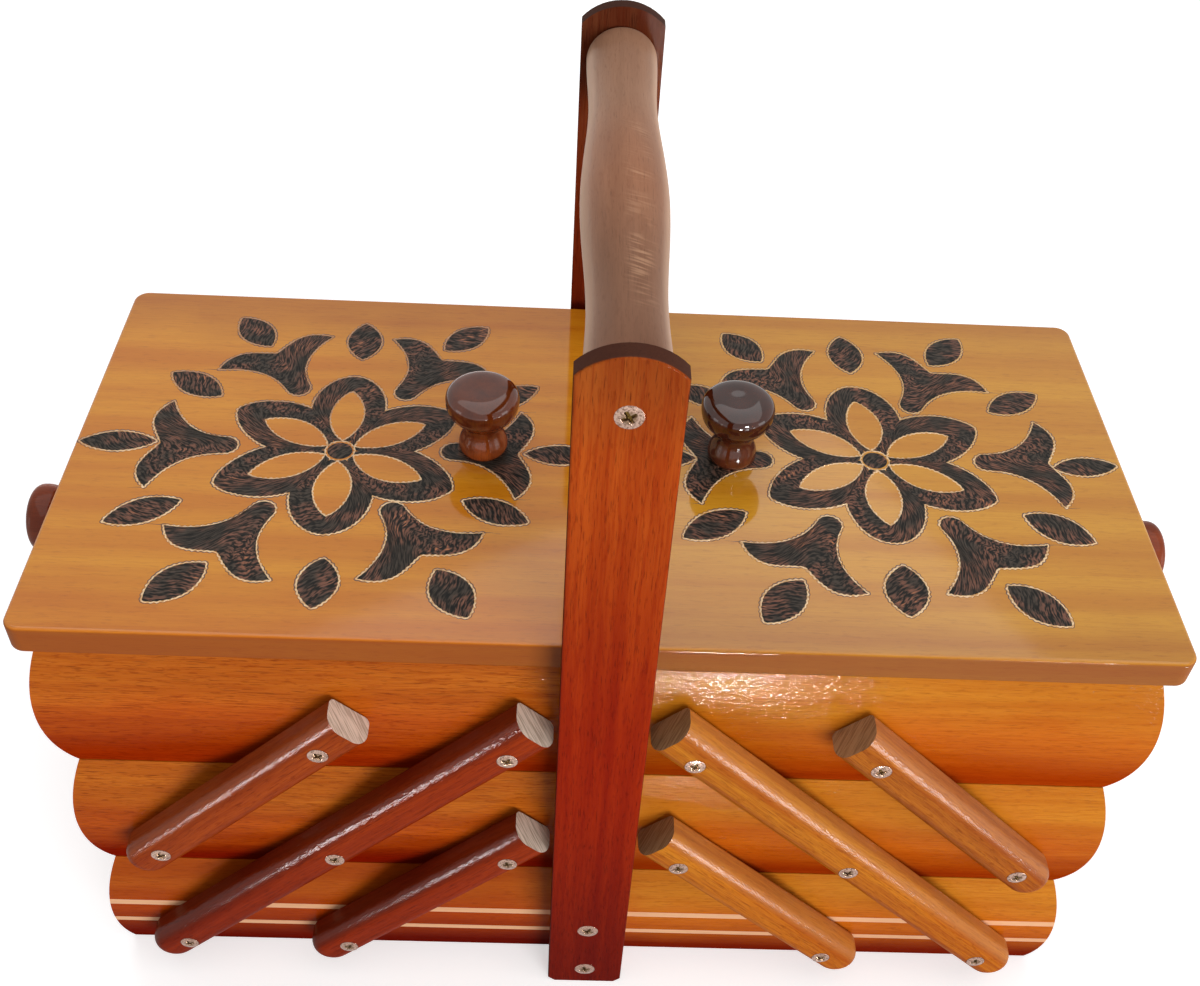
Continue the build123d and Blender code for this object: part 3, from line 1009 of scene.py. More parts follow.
HANDS = {
    Side.LEFT: Freehand(
        petals=(-1.0, 0.0, 2.5, -5.0, 0.0, 6.5),
        tulips={0: (-0.5, 2.0), 60: (-0.5, -1.5), 120: (0.0, -1.5), 180: (0.0, 0.5), 240: (-1.2, 4.0),
                300: (2.0, 6.0)},
        leaves={0: (0.0, 2.5, 0.0, 0.0, 0.0), 30: (-1.0, -1.0, 0.0, 0.0, 0.0), 60: (1.0, 0.5, 0.5, 0.0, 0.0),
                90: (0.5, 0.0, 0.0, 1.0, 0.0), 120: (-3.0, -1.0, 0.5, 0.5, 0.0),
                150: (1.0, -0.5, 0.0, 0.5, 0.0), 180: (0.5, 0.5, 0.5, 0.5, 0.0),
                210: (-3.5, 0.0, 3.0, 0.0, 0.0), 240: (-4.0, 3.5, 1.0, 2.0, -5.0),
                270: (2.0, -1.0, 0.5, 0.5, 0.0), 300: (6.5, 2.0, 1.5, 2.0, -10.0),
                330: (-2.5, 7.0, 0.0, 0.5, 4.0)}),
    Side.RIGHT: Freehand(
        petals=(-5.0, 4.0, 2.0, -3.5, 0.0, 3.5),
        tulips={0: (0.5, 0.0), 60: (-1.0, -4.0), 120: (-1.5, -3.7), 180: (-1.2, -0.7), 240: (-1.2, 2.0),
                300: (1.2, 2.5)},
        leaves={0: (0.0, -1.5, 0.0, 0.0, 0.0), 30: (0.5, 0.0, 0.0, 0.0, 0.0), 60: (-0.5, -3.5, 0.5, 1.0, 0.0),
                90: (-1.5, -1.5, 0.5, 1.0, 0.0), 120: (-3.5, -2.5, 0.5, 1.0, 0.0),
                150: (0.0, 0.0, 0.0, 0.0, 0.0), 180: (0.0, 0.0, 0.0, 0.0, 0.0),
                210: (-2.5, 0.0, 2.0, 1.0, 0.0), 240: (-2.0, 0.0, 1.0, 2.0, 0.0),
                270: (0.0, -1.5, 2.0, 1.0, 0.0), 300: (3.5, -0.5, 1.5, 2.0, 0.0),
                330: (0.5, 0.5, 1.5, 1.5, 0.0)}),
}


BURNT_WOOD = BurntFinish("burnt_wood")
SCORCHED_RIM = LineFinish("scorched_rim", linear(92, 52, 26), linear(44, 26, 16))
CUT_LINE_BACKS = {Side.LEFT: linear(170, 112, 66), Side.RIGHT: linear(204, 156, 88)}
CUT_LINES = {side: LineFinish(f"cut_line_{side.prefix}", linear(240, 206, 160), linear(206, 156, 98), back)
             for side, back in CUT_LINE_BACKS.items()}


@dataclass
class Rosette:
    """Burnt flower of six petals with six tulips and twelve leaves round it, on one lid."""

    side: Side
    centre: tuple[float, float]
    top: float
    turn: float
    seed: float
    eye: float = 5.3 * MM
    petal_start: float = 5.6 * MM
    petal_heart_end: float = 33.0 * MM
    petal_heart_half: float = 6.0 * MM
    overlap: float = 0.9 * MM
    valley: float = 26.6 * MM
    upright_petal: float = 42.0 * MM
    slanting_petal: float = 45.5 * MM
    upright_point: float = 1.05
    slanting_point: float = 1.35
    horn_streak: float = 5.5 * MM
    step: float = 0.42 * MM
    line_step: float = 0.30 * MM
    line_width: float = 0.78 * MM
    line_height: float = 0.16 * MM
    burnt_height: float = 0.06 * MM
    ridge_height: float = 0.30 * MM
    edge_run: float = 0.6 * MM
    stroke_slant: float = math.radians(48)
    stroke_sway: float = 0.35 * MM
    stroke_sway_run: float = 1.7 * MM
    tap_swing: float = 0.20 * MM
    tap_run: float = 0.31 * MM
    line_drift: float = 0.30 * MM
    sunk: float = 0.15 * MM
    burnt: Skin = field(default_factory=Skin)
    lines: Skin = field(default_factory=Skin)
    scorch: Skin = field(default_factory=Skin)

    def build(self) -> None:
        """Make the ornament's three pieces: burnt ground, pale cut lines and scorched rims."""
        for index in range(6):
            self.add_petal(math.radians(30 + 60 * index))
            self.add_tulip(math.radians(60 * index), index)
        for leaf in self.leaves():
            self.add_leaf(leaf)
        self.add_eye()
        self.add_flower_line()
        body, slot = f"{self.side.prefix}_lid_leaf", "lid_wood"
        name = f"{self.side.prefix}_rosette"
        settle(self.burnt.build(f"{name}_burnt"), BURNT_WOOD, body)
        settle(self.lines.build(f"{name}_lines"), CUT_LINES[self.side], body)
        settle(self.scorch.build(f"{name}_scorch"), SCORCHED_RIM, body)

    def leaves(self) -> list[Leaf]:
        """The twelve leaves: one past each tulip and one past each petal.

        Returns:
            The leaves, with the one by the right lid's outer edge a little nearer and shorter.
        """
        found = []
        for index in range(6):
            angle = math.radians(60 * index)
            across = index % 3 == 0
            lean = 0.0 if across else -math.radians(12) * math.copysign(1, math.sin(2 * angle))
            reach, length, width = (78.8, 26.0, 10.5) if across else (78.8, 22.5, 12.0)
            if index == 0 and self.side is Side.RIGHT:
                reach, length = 77.0, 23.5
            found.append(Leaf(angle, reach * MM, length * MM, width * MM, lean))
        for index in range(6):
            upright = index % 3 == 1
            reach, length, width = (62.8, 22.0, 13.0) if upright else (68.5, 24.5, 11.5)
            found.append(Leaf(math.radians(30 + 60 * index), reach * MM, length * MM, width * MM))
        return found

    def placed(self, points: np.ndarray, angle: float, move: tuple[float, float] = (0.0, 0.0)) -> np.ndarray:
        """Turn places from a motif's own axis to its angle on the lid, and move them by millimetres."""
        return turned(points, angle + self.turn, self.centre) + np.array(move) * MM

    def flower(self, points: np.ndarray, angle: float) -> np.ndarray:
        """Place points of the flower, each turned by the freehand turns of the petals beside it.

        Args:
            points: places in a petal's own frame.
            angle: the petal's angle.

        Returns:
            Places on the lid.
        """
        x, y = turned(points, angle).T
        bearing, petals = np.degrees(np.arctan2(y, x)), np.arange(30.0, 360.0, 60.0)
        stray = np.radians(np.interp(bearing, petals, HANDS[self.side].petals, period=360.0))
        swung = np.stack([x * np.cos(stray) - y * np.sin(stray), x * np.sin(stray) + y * np.cos(stray)], -1)
        return self.placed(swung, 0.0)

    def petal_end(self, angle: float) -> tuple[float, float]:
        """Reach and point of a petal: the two upright ones are shorter and blunter.

        Args:
            angle: the petal's angle.

        Returns:
            Its reach in metres, and the power that points its end.
        """
        upright = abs(math.cos(angle)) < 0.5
        return ((self.upright_petal, self.upright_point) if upright
                else (self.slanting_petal, self.slanting_point))

    def add_petal(self, angle: float) -> None:
        """Add a petal: a burnt band round a pale heart.

        The heart's side is W (4t(1 - t))^0.8 at a share t of its length. The band's outer edge
        runs out a little past the line to the neighbour and then round a quarter of an ellipse,
        drawn to a point by a power of its cosine.

        Args:
            angle: the petal's angle.
        """
        tip, point = self.petal_end(angle)
        half = np.linspace(0, 1, 46)
        heart = np.stack([self.petal_start + (self.petal_heart_end - self.petal_start) * half,
                          self.petal_heart_half * (4 * half * (1 - half)) ** 0.8], -1)
        beside = np.array([math.cos(math.pi / 6), math.sin(math.pi / 6)])
        valley, start = self.valley * beside, self.petal_start * beside
        inner_share = 0.34
        climb = np.clip(half / inner_share, 0, 1)[:, None]
        swing = np.clip((half - inner_share) / (1 - inner_share), 0, 1) * math.pi / 2
        rim = np.stack([valley[0] + (tip - valley[0]) * np.sin(swing),
                        valley[1] * np.cos(swing) ** point], -1)
        past = self.overlap * np.sin(math.pi * climb) ** 0.5 * np.array([[-0.5, math.cos(math.pi / 6)]])
        outer = np.where(climb < 1, start + (valley - start) * climb + past, rim)
        near, far = self.flower(mirrored(heart), angle), self.flower(mirrored(outer), angle)
        self.add_band(near, far, math.degrees(angle))
        self.add_line(near)

    def add_tulip(self, angle: float, index: int) -> None:
        """Add a tulip: a band between its horned far edge and the near edge round its stem.

        Both edges are cubic curves from a horn's tip to the axis, mirrored to the other horn.

        Args:
            angle: the tulip's angle.
            index: its number round the flower, which shifts its strokes.
        """
        t = np.linspace(0, 1, 44)
        horn, notch = (64.2 * MM, 23.2 * MM), (64.2 * MM, 0.0)
        far = bezier([horn, (74.5 * MM, 13.5 * MM), (66.5 * MM, 6 * MM), notch], t)
        stem_end, stem_round = 36.4 * MM, 4.3 * MM
        side = bezier([horn, (58.5 * MM, 8.5 * MM), (50 * MM, 4.6 * MM),
                       (stem_end + stem_round, stem_round)], t[:34] / t[33])
        cap = np.linspace(0, math.pi / 2, 11)[1:]
        bow = np.stack([stem_end + stem_round * (1 - np.sin(cap)), stem_round * np.cos(cap)], -1)
        near = mirrored(np.concatenate([side, bow]))
        move = HANDS[self.side].tulips[60 * index]
        near, far = self.placed(near, angle, move), self.placed(mirrored(far), angle, move)
        self.add_band(near, far, 37.0 * index + 11)
        self.add_line(round_trip(near, far))
        for tip in (near[0], near[-1]):
            self.add_streak(tip, math.copysign(self.horn_streak, tip[0] - self.centre[0]))

    def add_leaf(self, leaf: Leaf) -> None:
        """Add a leaf whose half width is W (4t(1 - t))^0.85 at a share t of its length.

        Args:
            leaf: its angle, place and size.
        """
        wobble = math.sin(7.3 * leaf.angle + self.seed)
        along, up, longer, wider, lean_more = HANDS[self.side].leaves[round(math.degrees(leaf.angle))]
        t = np.linspace(0.0, 1, 40)
        length = leaf.length * (1 + 0.04 * wobble) + longer * MM
        width = leaf.width * (1 - 0.05 * wobble) + wider * MM
        bulge = width / 2 * (4 * t * (1 - t)) ** 0.85
        spine = (t - 0.5) * length
        lean = leaf.lean + math.radians(4) * wobble + math.radians(lean_more)
        middle = np.array([[leaf.reach * (1 + 0.012 * wobble), 0.0]])
        edges = [turned(np.stack([spine, sign * bulge], -1), lean) + middle for sign in (1, -1)]
        near, far = (self.placed(edge, leaf.angle, (along, up)) for edge in edges)
        self.add_band(near, far, math.degrees(leaf.angle) + 50)
        self.add_line(round_trip(near, far))

    def add_eye(self) -> None:
        """Add the round middle of the flower, a band between two half circles."""
        t = np.linspace(0, math.pi, 30)
        radius = self.eye - self.line_width
        near = np.stack([radius * np.cos(t), radius * np.sin(t)], -1)
        self.add_band(self.placed(near, 0.0), self.placed(near * np.array([1, -1]), 0.0), 20)
        whole = np.linspace(0, 2 * math.pi, 60, endpoint=False)
        ring = np.stack([np.cos(whole), np.sin(whole)], -1) * self.eye
        self.add_line(self.placed(ring, 0.0), rim=False)

    def add_flower_line(self) -> None:
        """Add the scalloped line round all six petals."""
        foot, half = self.valley * math.cos(math.pi / 6), self.valley * math.sin(math.pi / 6)
        swing = np.linspace(-math.pi / 2, math.pi / 2, 61)[:-1]
        runs = []
        for index in range(6):
            angle = math.radians(30 + 60 * index)
            tip, point = self.petal_end(angle)
            run = np.stack([foot + (tip - foot) * np.cos(swing),
                            half * np.sign(swing) * np.abs(np.sin(swing)) ** point], -1)
            runs.append(self.flower(run, angle))
        self.add_line(np.concatenate(runs))

    def add_band(self, near: np.ndarray, far: np.ndarray, slant: float) -> None:
        """Add burnt ground between two edges, as a closed shell sunk a little into the lid.

        Place (t, s) is near(t) + s (far(t) - near(t)). Its height is an S-curve of the way from
        the nearer edge, times the ground's height plus the ridges of slanting strokes. The
        strokes' own frame is the way along the band's middle and across it, turned by the slant.

        Args:
            near, far: the two edges, as many points each.
            slant: shifts the strokes, so that no two bands have the same.
        """
        width = np.linalg.norm(far - near, axis=1)
        columns = max(6, int(math.ceil(width.max() / self.step)) + 1)
        s = np.linspace(0, 1, columns)[None, :, None]
        plan = near[:, None, :] + (far - near)[:, None, :] * s
        edge_way = np.minimum(s[..., 0], 1 - s[..., 0]) * width[:, None]
        rise = smoothstep(edge_way / self.edge_run)
        middle = (near + far) / 2
        along = np.concatenate([[0], np.cumsum(np.linalg.norm(np.diff(middle, axis=0), axis=1))])
        across = (s[..., 0] - 0.5) * width[:, None]
        c, d = math.cos(self.stroke_slant), math.sin(self.stroke_slant)
        u = along[:, None] * c + across * d + slant * MM
        v = across * c - along[:, None] * d
        v = v + self.stroke_sway * np.sin(u / self.stroke_sway_run)
        ridge = self.strokes(u, v)
        height = self.top - self.sunk * (1 - rise) + rise * (self.burnt_height + self.ridge_height * ridge)
        upper = np.concatenate([plan, height[..., None]], -1)
        under = np.concatenate([plan[:, [-1, 0]], np.full((len(near), 2, 1), self.top - 3 * self.sunk)], -1)
        way = np.stack([u, v, np.full_like(u, slant)], -1)
        way = np.concatenate([way, way[:, [-1, 0]]], 1)
        self.burnt.add_tube(np.concatenate([upper, under], 1), way=way)

    def strokes(self, u: np.ndarray, v: np.ndarray) -> np.ndarray:
        """Height of the iron's strokes, 0 to 1: long narrow cells of lattice noise, to the power 1.4.

        Args:
            u, v: places along and across the strokes.

        Returns:
            The height at each place.
        """
        broad = lattice_noise(u / (4.0 * MM), v / (1.05 * MM), self.seed)
        fine = lattice_noise(u / (2.0 * MM), v / (0.7 * MM), self.seed + 5)
        return (0.68 * broad + 0.32 * fine) ** 1.4

    def add_line(self, path: np.ndarray, rim: bool = True) -> None:
        """Add a pale cut line along a closed path, and a thin scorched rim beside it.

        The line's middle swings by a sine of its way: the scallops that a gouge's taps leave.

        Args:
            path: places on the lid.
            rim: whether it gets the scorched rim.
        """
        path = even_path(path, self.line_step)
        outward = path_normals(path)
        way = np.arange(len(path)) * self.line_step
        swing = 0.4 + 0.9 * lattice_noise(way / (4 * MM), way * 0, self.seed)
        waver = self.tap_swing * np.sin(way / self.tap_run) * swing
        drift = self.line_drift * (lattice_noise(way / (9 * MM), way * 0 + 3, self.seed) - 0.5)
        middle = path + outward * (waver + drift)[:, None]
        width = self.line_width * (0.6 + 0.7 * lattice_noise(way / (1.3 * MM), way * 0 + 7, self.seed))
        self.lines.add_tube(self.ribbon(middle, outward, width, self.line_height), closed_rows=True)
        if rim:
            broken = lattice_noise(way / (5 * MM), way * 0 + 11, self.seed)
            thin = 0.42 * MM * smoothstep((broken - 0.2) / 0.5) + 0.06 * MM
            beside = middle + outward * (self.line_width * 0.72)
            self.scorch.add_tube(self.ribbon(beside, outward, thin, 0.07 * MM), closed_rows=True)

    def add_streak(self, place: np.ndarray, reach: float) -> None:
        """Add a thin scorched streak that runs out from a tip along the lid's grain, tapering to nothing.

        Args:
            place: where it starts.
            reach: how far along X it runs, with its sign.
        """
        t = np.linspace(0.0, 1.0, 14)
        sway = 0.25 * MM * np.sin(5 * t + place[0] * 900)
        path = place + np.stack([reach * t, sway * t], -1)
        width = 0.05 * MM + 0.42 * MM * (1 - t) ** 1.5
        outward = np.broadcast_to(np.array([[0.0, 1.0]]), path.shape) * -math.copysign(1, reach)
        self.scorch.add_tube(self.ribbon(path, outward, width, 0.06 * MM))

    def ribbon(self, middle: np.ndarray, outward: np.ndarray, width: np.ndarray, height: float) -> np.ndarray:
        """Carry a low arch, height (1 - x^2) at a share x of the half width, along a path.

        Args:
            middle: the path.
            outward: unit vectors across it.
            width: its width at each point.
            height: height of the arch.

        Returns:
            A grid whose columns close below the lid's top.
        """
        x = np.array([-1.0, -0.6, 0.0, 0.6, 1.0])
        plan = middle[:, None, :] + outward[:, None, :] * (width[:, None] / 2 * x)[..., None]
        arch = self.top + height * (1 - x ** 2) - 0.02 * MM
        upper = np.concatenate([plan, np.broadcast_to(arch[None, :, None], plan.shape[:2] + (1,))], -1)
        depth = np.full((len(middle), 2, 1), self.top - self.sunk)
        under = np.concatenate([plan[:, [-1, 0]], depth], -1)
        return np.concatenate([upper, under], 1)


def even_path(path: np.ndarray, step: float) -> np.ndarray:
    """Walk a closed path in even steps: each coordinate is interpolated over the path's length.

    Args:
        path: places round the path.
        step: about how far apart the new ones are.

    Returns:
        The new places, twelve or more.
    """
    ring = np.concatenate([path, path[:1]])
    way = np.concatenate([[0], np.cumsum(np.linalg.norm(np.diff(ring, axis=0), axis=1))])
    marks = np.linspace(0, way[-1], max(12, int(way[-1] / step)), endpoint=False)
    return np.stack([np.interp(marks, way, ring[:, k]) for k in range(2)], -1)


def path_normals(path: np.ndarray) -> np.ndarray:
    """Unit vectors across a closed path: the chord past each place, smoothed and turned by a right angle.

    Args:
        path: places round the path.

    Returns:
        Vectors that point out of the path.
    """
    ahead = np.roll(path, -1, 0) - np.roll(path, 1, 0)
    ahead = ahead + 0.5 * (np.roll(ahead, 1, 0) + np.roll(ahead, -1, 0))
    normal = np.stack([ahead[:, 1], -ahead[:, 0]], -1)
    normal /= np.linalg.norm(normal, axis=1, keepdims=True) + 1e-12
    x, y = path[:, 0], path[:, 1]
    area = np.sum(x * np.roll(y, -1) - np.roll(x, -1) * y)
    return normal * math.copysign(1, area)


@dataclass
class Lid:
    """One lid: honey wood, rosette, turned knob and the hinge leaves below."""

    side: Side
    rosette_centre: tuple[float, float]
    rosette_turn: float
    seed: float

    def build(self) -> None:
        """Dress the nodes and carve the ornament."""
        prefix = self.side.prefix
        dress(f"{prefix}_lid", lid_wood(self.side))
        dress(f"{prefix}_lid_knob", KNOBS[self.side])
        for name in ("hinge_lid_leaves", "hinge_tray_leaves", "hinge_pins"):
            dress(f"{prefix}_{name}", BRASS)
        dress(f"{prefix}_end_knob", END_KNOB)
        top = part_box(f"{prefix}_lid")[1].z
        Rosette(self.side, self.rosette_centre, top, self.rosette_turn, self.seed).build()


# The left knob's lighter orange-brown is partly its wood and partly a painted reflection of the honey lid
# below it.
KNOB_COLOURS = {
    Side.LEFT: dict(early=linear(160, 76, 28), late=linear(108, 48, 18), pore=linear(56, 26, 14)),
    Side.RIGHT: dict(early=linear(104, 48, 24), late=linear(66, 30, 15), pore=linear(40, 18, 10)),
}
KNOBS = {side: WoodFinish(f"knob_wood_{side.prefix}", **colours, grain=Grain.ALONG_Z,
                          band_width=6 * MM, band_length=40 * MM, coat=1.0, coat_roughness=0.05,
                          coat_ripple=0.004 * MM, ripple_size=3 * MM,
                          tints=(Tint(0.206, 0.214, (0.50, 0.46, 0.50), waver=0.004),))
         for side, colours in KNOB_COLOURS.items()}
END_KNOB = WoodFinish("end_knob_wood", early=linear(150, 70, 36), late=linear(112, 46, 22),
                      pore=linear(60, 22, 12), coat=0.35, coat_roughness=0.10)
BRASS = MetalFinish("hinge_brass", linear(206, 170, 96), linear(150, 116, 60), roughness=0.32)
# Its third colour is painted shade for the cross's recess and the head's inner disc.
ZINC = MetalFinish("screw_zinc", linear(182, 152, 136), linear(112, 84, 70), linear(96, 74, 34), 0.27)
INLAY = WoodFinish("inlay_wood", early=linear(242, 190, 146), late=linear(226, 164, 120),
                   pore=linear(176, 110, 74), pore_share=0.15, fleck_share=0.1, coat=0.15)
SPACER = WoodFinish("spacer_wood", **RED_BROWN, grain=Grain.ALONG_Z, coat=0.2)
GRIP = WoodFinish("grip_wood", early=linear(168, 122, 94), late=linear(138, 96, 72), pore=linear(84, 52, 38),
                  grain=Grain.ALONG_Y, band_width=12 * MM, band_length=90 * MM,
                  fleck_share=0.25, pore_share=0.3, roughness=0.6, sheen=0.35,
                  coat=0.25, coat_roughness=0.30,
                  tints=(Tint(0.050, 0.015, (1.0, 0.84, 0.74), BACKWARDS, waver=0.03),
                         Tint(0.0, -0.05, (0.76, 0.84, 0.92), BACKWARDS, waver=0.03)),
                  # Painted sheen: pale faces at the grip's two sides.
                  stains=(FaceStain(LENGTHWISE, linear(204, 164, 136), 0.75, 0.97, both_ways=True,
                                    share=0.7, keep=0.2),),
                  curl=Curl(linear(214, 166, 130), middle=3.5 * MM, half=6.0 * MM,
                            front=-72 * MM, back=32 * MM))
WALL_COLOURS = {
    Side.LEFT: dict(early=linear(207, 116, 32), late=linear(168, 76, 14), pore=linear(102, 38, 8),
                    fibre_share=0.65, fleck_share=0.58, pore_share=0.45),
    Side.RIGHT: dict(early=linear(213, 137, 40), late=linear(186, 100, 20), pore=linear(140, 66, 14),
                     fibre_share=0.5, fleck_share=0.3, pore_share=0.3),
}


@dataclass
class Tray:
    """One open box of boards: the base, or a middle or top tray."""

    name: str
    boards: dict[str, tuple[Grain, Triple]]
    side: Side
    # painted shade multiplied into the boards at their foot
    foot: Colour
    tints: tuple[Tint, ...] = ()

    def build(self) -> None:
        """Dress each board with its grain and the side that faces in."""
        for index, (board, (grain, inward)) in enumerate(self.boards.items()):
            node = f"{self.name}_{board}"
            low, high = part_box(node)
            seed = (0.37 * index, 0.61 * index + low.z * 13, 0.23 * index)
            dress(node, wall_wood(f"{node}_wood", grain, inward, low.z, high.z, WALL_COLOURS[self.side],
                                  self.foot, seed, self.tints))
        dress(f"{self.name}_bottom", WoodFinish(f"{self.name}_bottom_wood", **BARE, coat=0.1,
                                                coat_roughness=0.3, seed=(0.3, 2.2, 0.9)))
        LOG.info("%s: %d boards dressed", self.name, len(self.boards) + 1)


def tray_boards(side: Side) -> dict[str, tuple[Grain, Triple]]:
    """Grain and inward direction of the boards of one side's trays.

    Args:
        side: which half of the box.

    Returns:
        Both, by the name of the board.
    """
    inward = float(-side.value)
    return {"front_wall": (Grain.ALONG_X, BACKWARDS), "back_wall": (Grain.ALONG_X, FORWARDS),
            "outer_wall": (Grain.ALONG_Y, (inward, 0.0, 0.0)),
            "inner_wall": (Grain.ALONG_Y, (-inward, 0.0, 0.0))}


BASE_BOARDS = {"front_wall": (Grain.ALONG_X, BACKWARDS), "back_wall": (Grain.ALONG_X, FORWARDS),
               "left_wall": (Grain.ALONG_Y, (1.0, 0.0, 0.0)), "right_wall": (Grain.ALONG_Y, (-1.0, 0.0, 0.0))}
# Painted shade that the base boards' colour is multiplied by at their foot.
BASE_FOOT_SHADE: Colour = (0.40, 0.11, 0.16)
BASE_TINTS = (Tint(0.04, -0.04, (0.74, 0.42, 0.38), LENGTHWISE, waver=0.03),)
# Painted shade that each tray's boards are multiplied by at their foot.
TRAY_FOOT_SHADES = {("middle", Side.LEFT): (0.52, 0.12, 0.22), ("middle", Side.RIGHT): (0.64, 0.32, 0.28),
             ("top", Side.LEFT): (0.74, 0.33, 0.25), ("top", Side.RIGHT): (0.75, 0.38, 0.28)}
TRAY_TINTS = {("top", Side.RIGHT): (Tint(0.11, 0.03, (0.82, 0.94, 0.76), LENGTHWISE, waver=0.03),)}


@dataclass
class ScrewSet:
    """Cross-headed wood screws of one node, turned anew with a full recess.

    The rim, and the arm and reach of the recess, are shares of the head's radius.
    """

    node: str
    body: str
    places: list[Triple]
    shank: float = 1.75 * MM
    head: float = 3.5 * MM
    length: float = 22 * MM
    dome: float = 0.5 * MM
    recess: float = 1.1 * MM
    rim: float = 0.97
    arm: float = 0.13
    reach: float = 0.58
    first_turn: float = 0.5
    next_turn: float = 1.9
    columns: int = 64

    def build(self) -> None:
        """Make the node's screws as one piece that stands for it."""
        skin = Skin()
        for index, (x, y, z) in enumerate(self.places):
            outward = math.copysign(1.0, y)
            points, recess_shade = self.turned_screw(self.first_turn + self.next_turn * index)
            grid = np.stack([x + points[..., 0] * -outward, y + points[..., 2] * outward,
                             z + points[..., 1]], -1)
            skin.add_tube(grid, recess_shade)
        piece = skin.build(f"{self.node}_turned", "recess")
        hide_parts(self.node)
        settle(piece, ZINC, self.body)

    def turned_screw(self, turn: float) -> tuple[np.ndarray, np.ndarray]:
        """One screw along Z with its head's rim at z = 0, from its point to its head's middle.

        The profile turns about Z. The head's top is 1 - (r / R)^2 of the dome's height, less
        the recess where |x| or |y| in the cross's own frame is under its arm's half width.

        Args:
            turn: angle of the cross.

        Returns:
            Places, and the painted shade: 1 in the cross's recess, and about half over the head's inner disc.
        """
        cone = self.head - self.shank
        side = np.array([[0.1 * MM, -self.length], [self.shank, 3 * self.shank - self.length],
                         [self.shank, -cone], [self.head * self.rim, -0.1 * MM], [self.head, 0.05 * MM]])
        radii = np.concatenate([side[:, 0], self.head * np.linspace(self.rim, 0.02, 26)])
        angle = np.linspace(0, 2 * math.pi, self.columns, endpoint=False)
        x, y = radii[:, None] * np.cos(angle), radii[:, None] * np.sin(angle)
        c, s = math.cos(turn), math.sin(turn)
        u, v = np.abs(c * x + s * y), np.abs(c * y - s * x)
        arm, reach, edge = self.arm * self.head, self.reach * self.head, 0.06 * self.head
        cross = np.maximum(smoothstep((arm - u) / edge + 0.5) * smoothstep((reach - v) / edge),
                           smoothstep((arm - v) / edge + 0.5) * smoothstep((reach - u) / edge))
        cross[:len(side)] = 0
        height = self.dome * (1 - (radii / self.head) ** 2)[:, None] - self.recess * cross
        height[:len(side)] = side[:, 1, None]
        # Painted shade: full in the cross's recess, about half over the head's inner disc.
        ring = smoothstep((0.62 * self.head - radii[:, None]) / (0.2 * self.head))
        recess_shade = np.maximum(cross, 0.55 * ring * (radii[:, None] < self.head * 0.96))
        recess_shade[:len(side)] = 0
        return np.stack([x, y, height], -1), recess_shade


@dataclass
class Handle:
    """Two posts, the spacers behind them and the turned grip."""

    def build(self) -> None:
        """Dress the nodes."""
        for node in ("front_post", "back_post"):
            dress(node, post_wood())
        dress("post_spacers", SPACER)
        dress("handle_grip", GRIP)
        LOG.info("handle dressed")


class Shows(Enum):
    """Where a lamp shows: in matt surfaces' light, and in the lacquer's reflections."""

    EVERYWHERE = (True, True)
    MATT_ONLY = (True, False)
    SHINE_ONLY = (False, True)


@dataclass(frozen=True)
class Lamp:
    """A soft rectangular lamp, with its size in metres, power in watts and beam in degrees."""

    name: str
    place: Triple
    target: Triple
    size: tuple[float, float]
    power: float
    shows: Shows = Shows.EVERYWHERE
    spread: float = 180.0

    def hang(self) -> None:
        """Hang the lamp, pointing at its target."""
        light = bpy.data.lights.new(self.name, "AREA")
        light.shape = "RECTANGLE"
        light.size, light.size_y = self.size
        light.energy = self.power
        light.spread = math.radians(self.spread)
        lamp = bpy.data.objects.new(self.name, light)
        lamp.location = self.place
        lamp.rotation_euler = (Vector(self.target) - Vector(self.place)).to_track_quat("-Z", "Y").to_euler()
        lamp.visible_camera = False
        lamp.visible_diffuse, lamp.visible_glossy = self.shows.value
        bpy.context.scene.collection.objects.link(lamp)


LAMPS = (
    Lamp("window", (1.05, -2.05, 0.6), (0.0, 0.0, 0.12), (1.4, 0.8), 40.0, Shows.MATT_ONLY),
    Lamp("ceiling", (0.2, 0.1, 1.9), (0.0, 0.0, 0.1), (2.8, 2.2), 22.0),
    Lamp("back", (-0.7, 2.0, 0.42), (0.0, 0.0, 0.15), (1.4, 0.8), 24.0, Shows.MATT_ONLY),
    Lamp("side_right", (1.3, -0.5, 0.35), (0.05, -0.05, 0.12), (0.5, 0.5), 2.0),
    Lamp("side_left", (-1.3, -0.5, 0.35), (-0.05, -0.05, 0.12), (0.4, 0.5), 1.0),
    Lamp("glint_front", (0.10, -0.55, 0.01), (0.040, -0.0885, 0.157), (0.07, 0.12), 0.09,
         Shows.SHINE_ONLY, spread=15.0),
    Lamp("glint_left", (-0.40, -0.33, 0.06), (-0.08, -0.1, 0.138), (0.12, 0.13), 0.06,
         Shows.SHINE_ONLY, spread=20.0),
    Lamp("glint_right", (0.42, -0.33, 0.05), (0.075, -0.1, 0.11), (0.14, 0.14), 2.4, Shows.SHINE_ONLY),
    Lamp("glint_knobs", (0.36, -0.76, 0.40), (0.0, 0.0, 0.2), (0.18, 0.22), 0.13,
         Shows.SHINE_ONLY, spread=18.0),
)


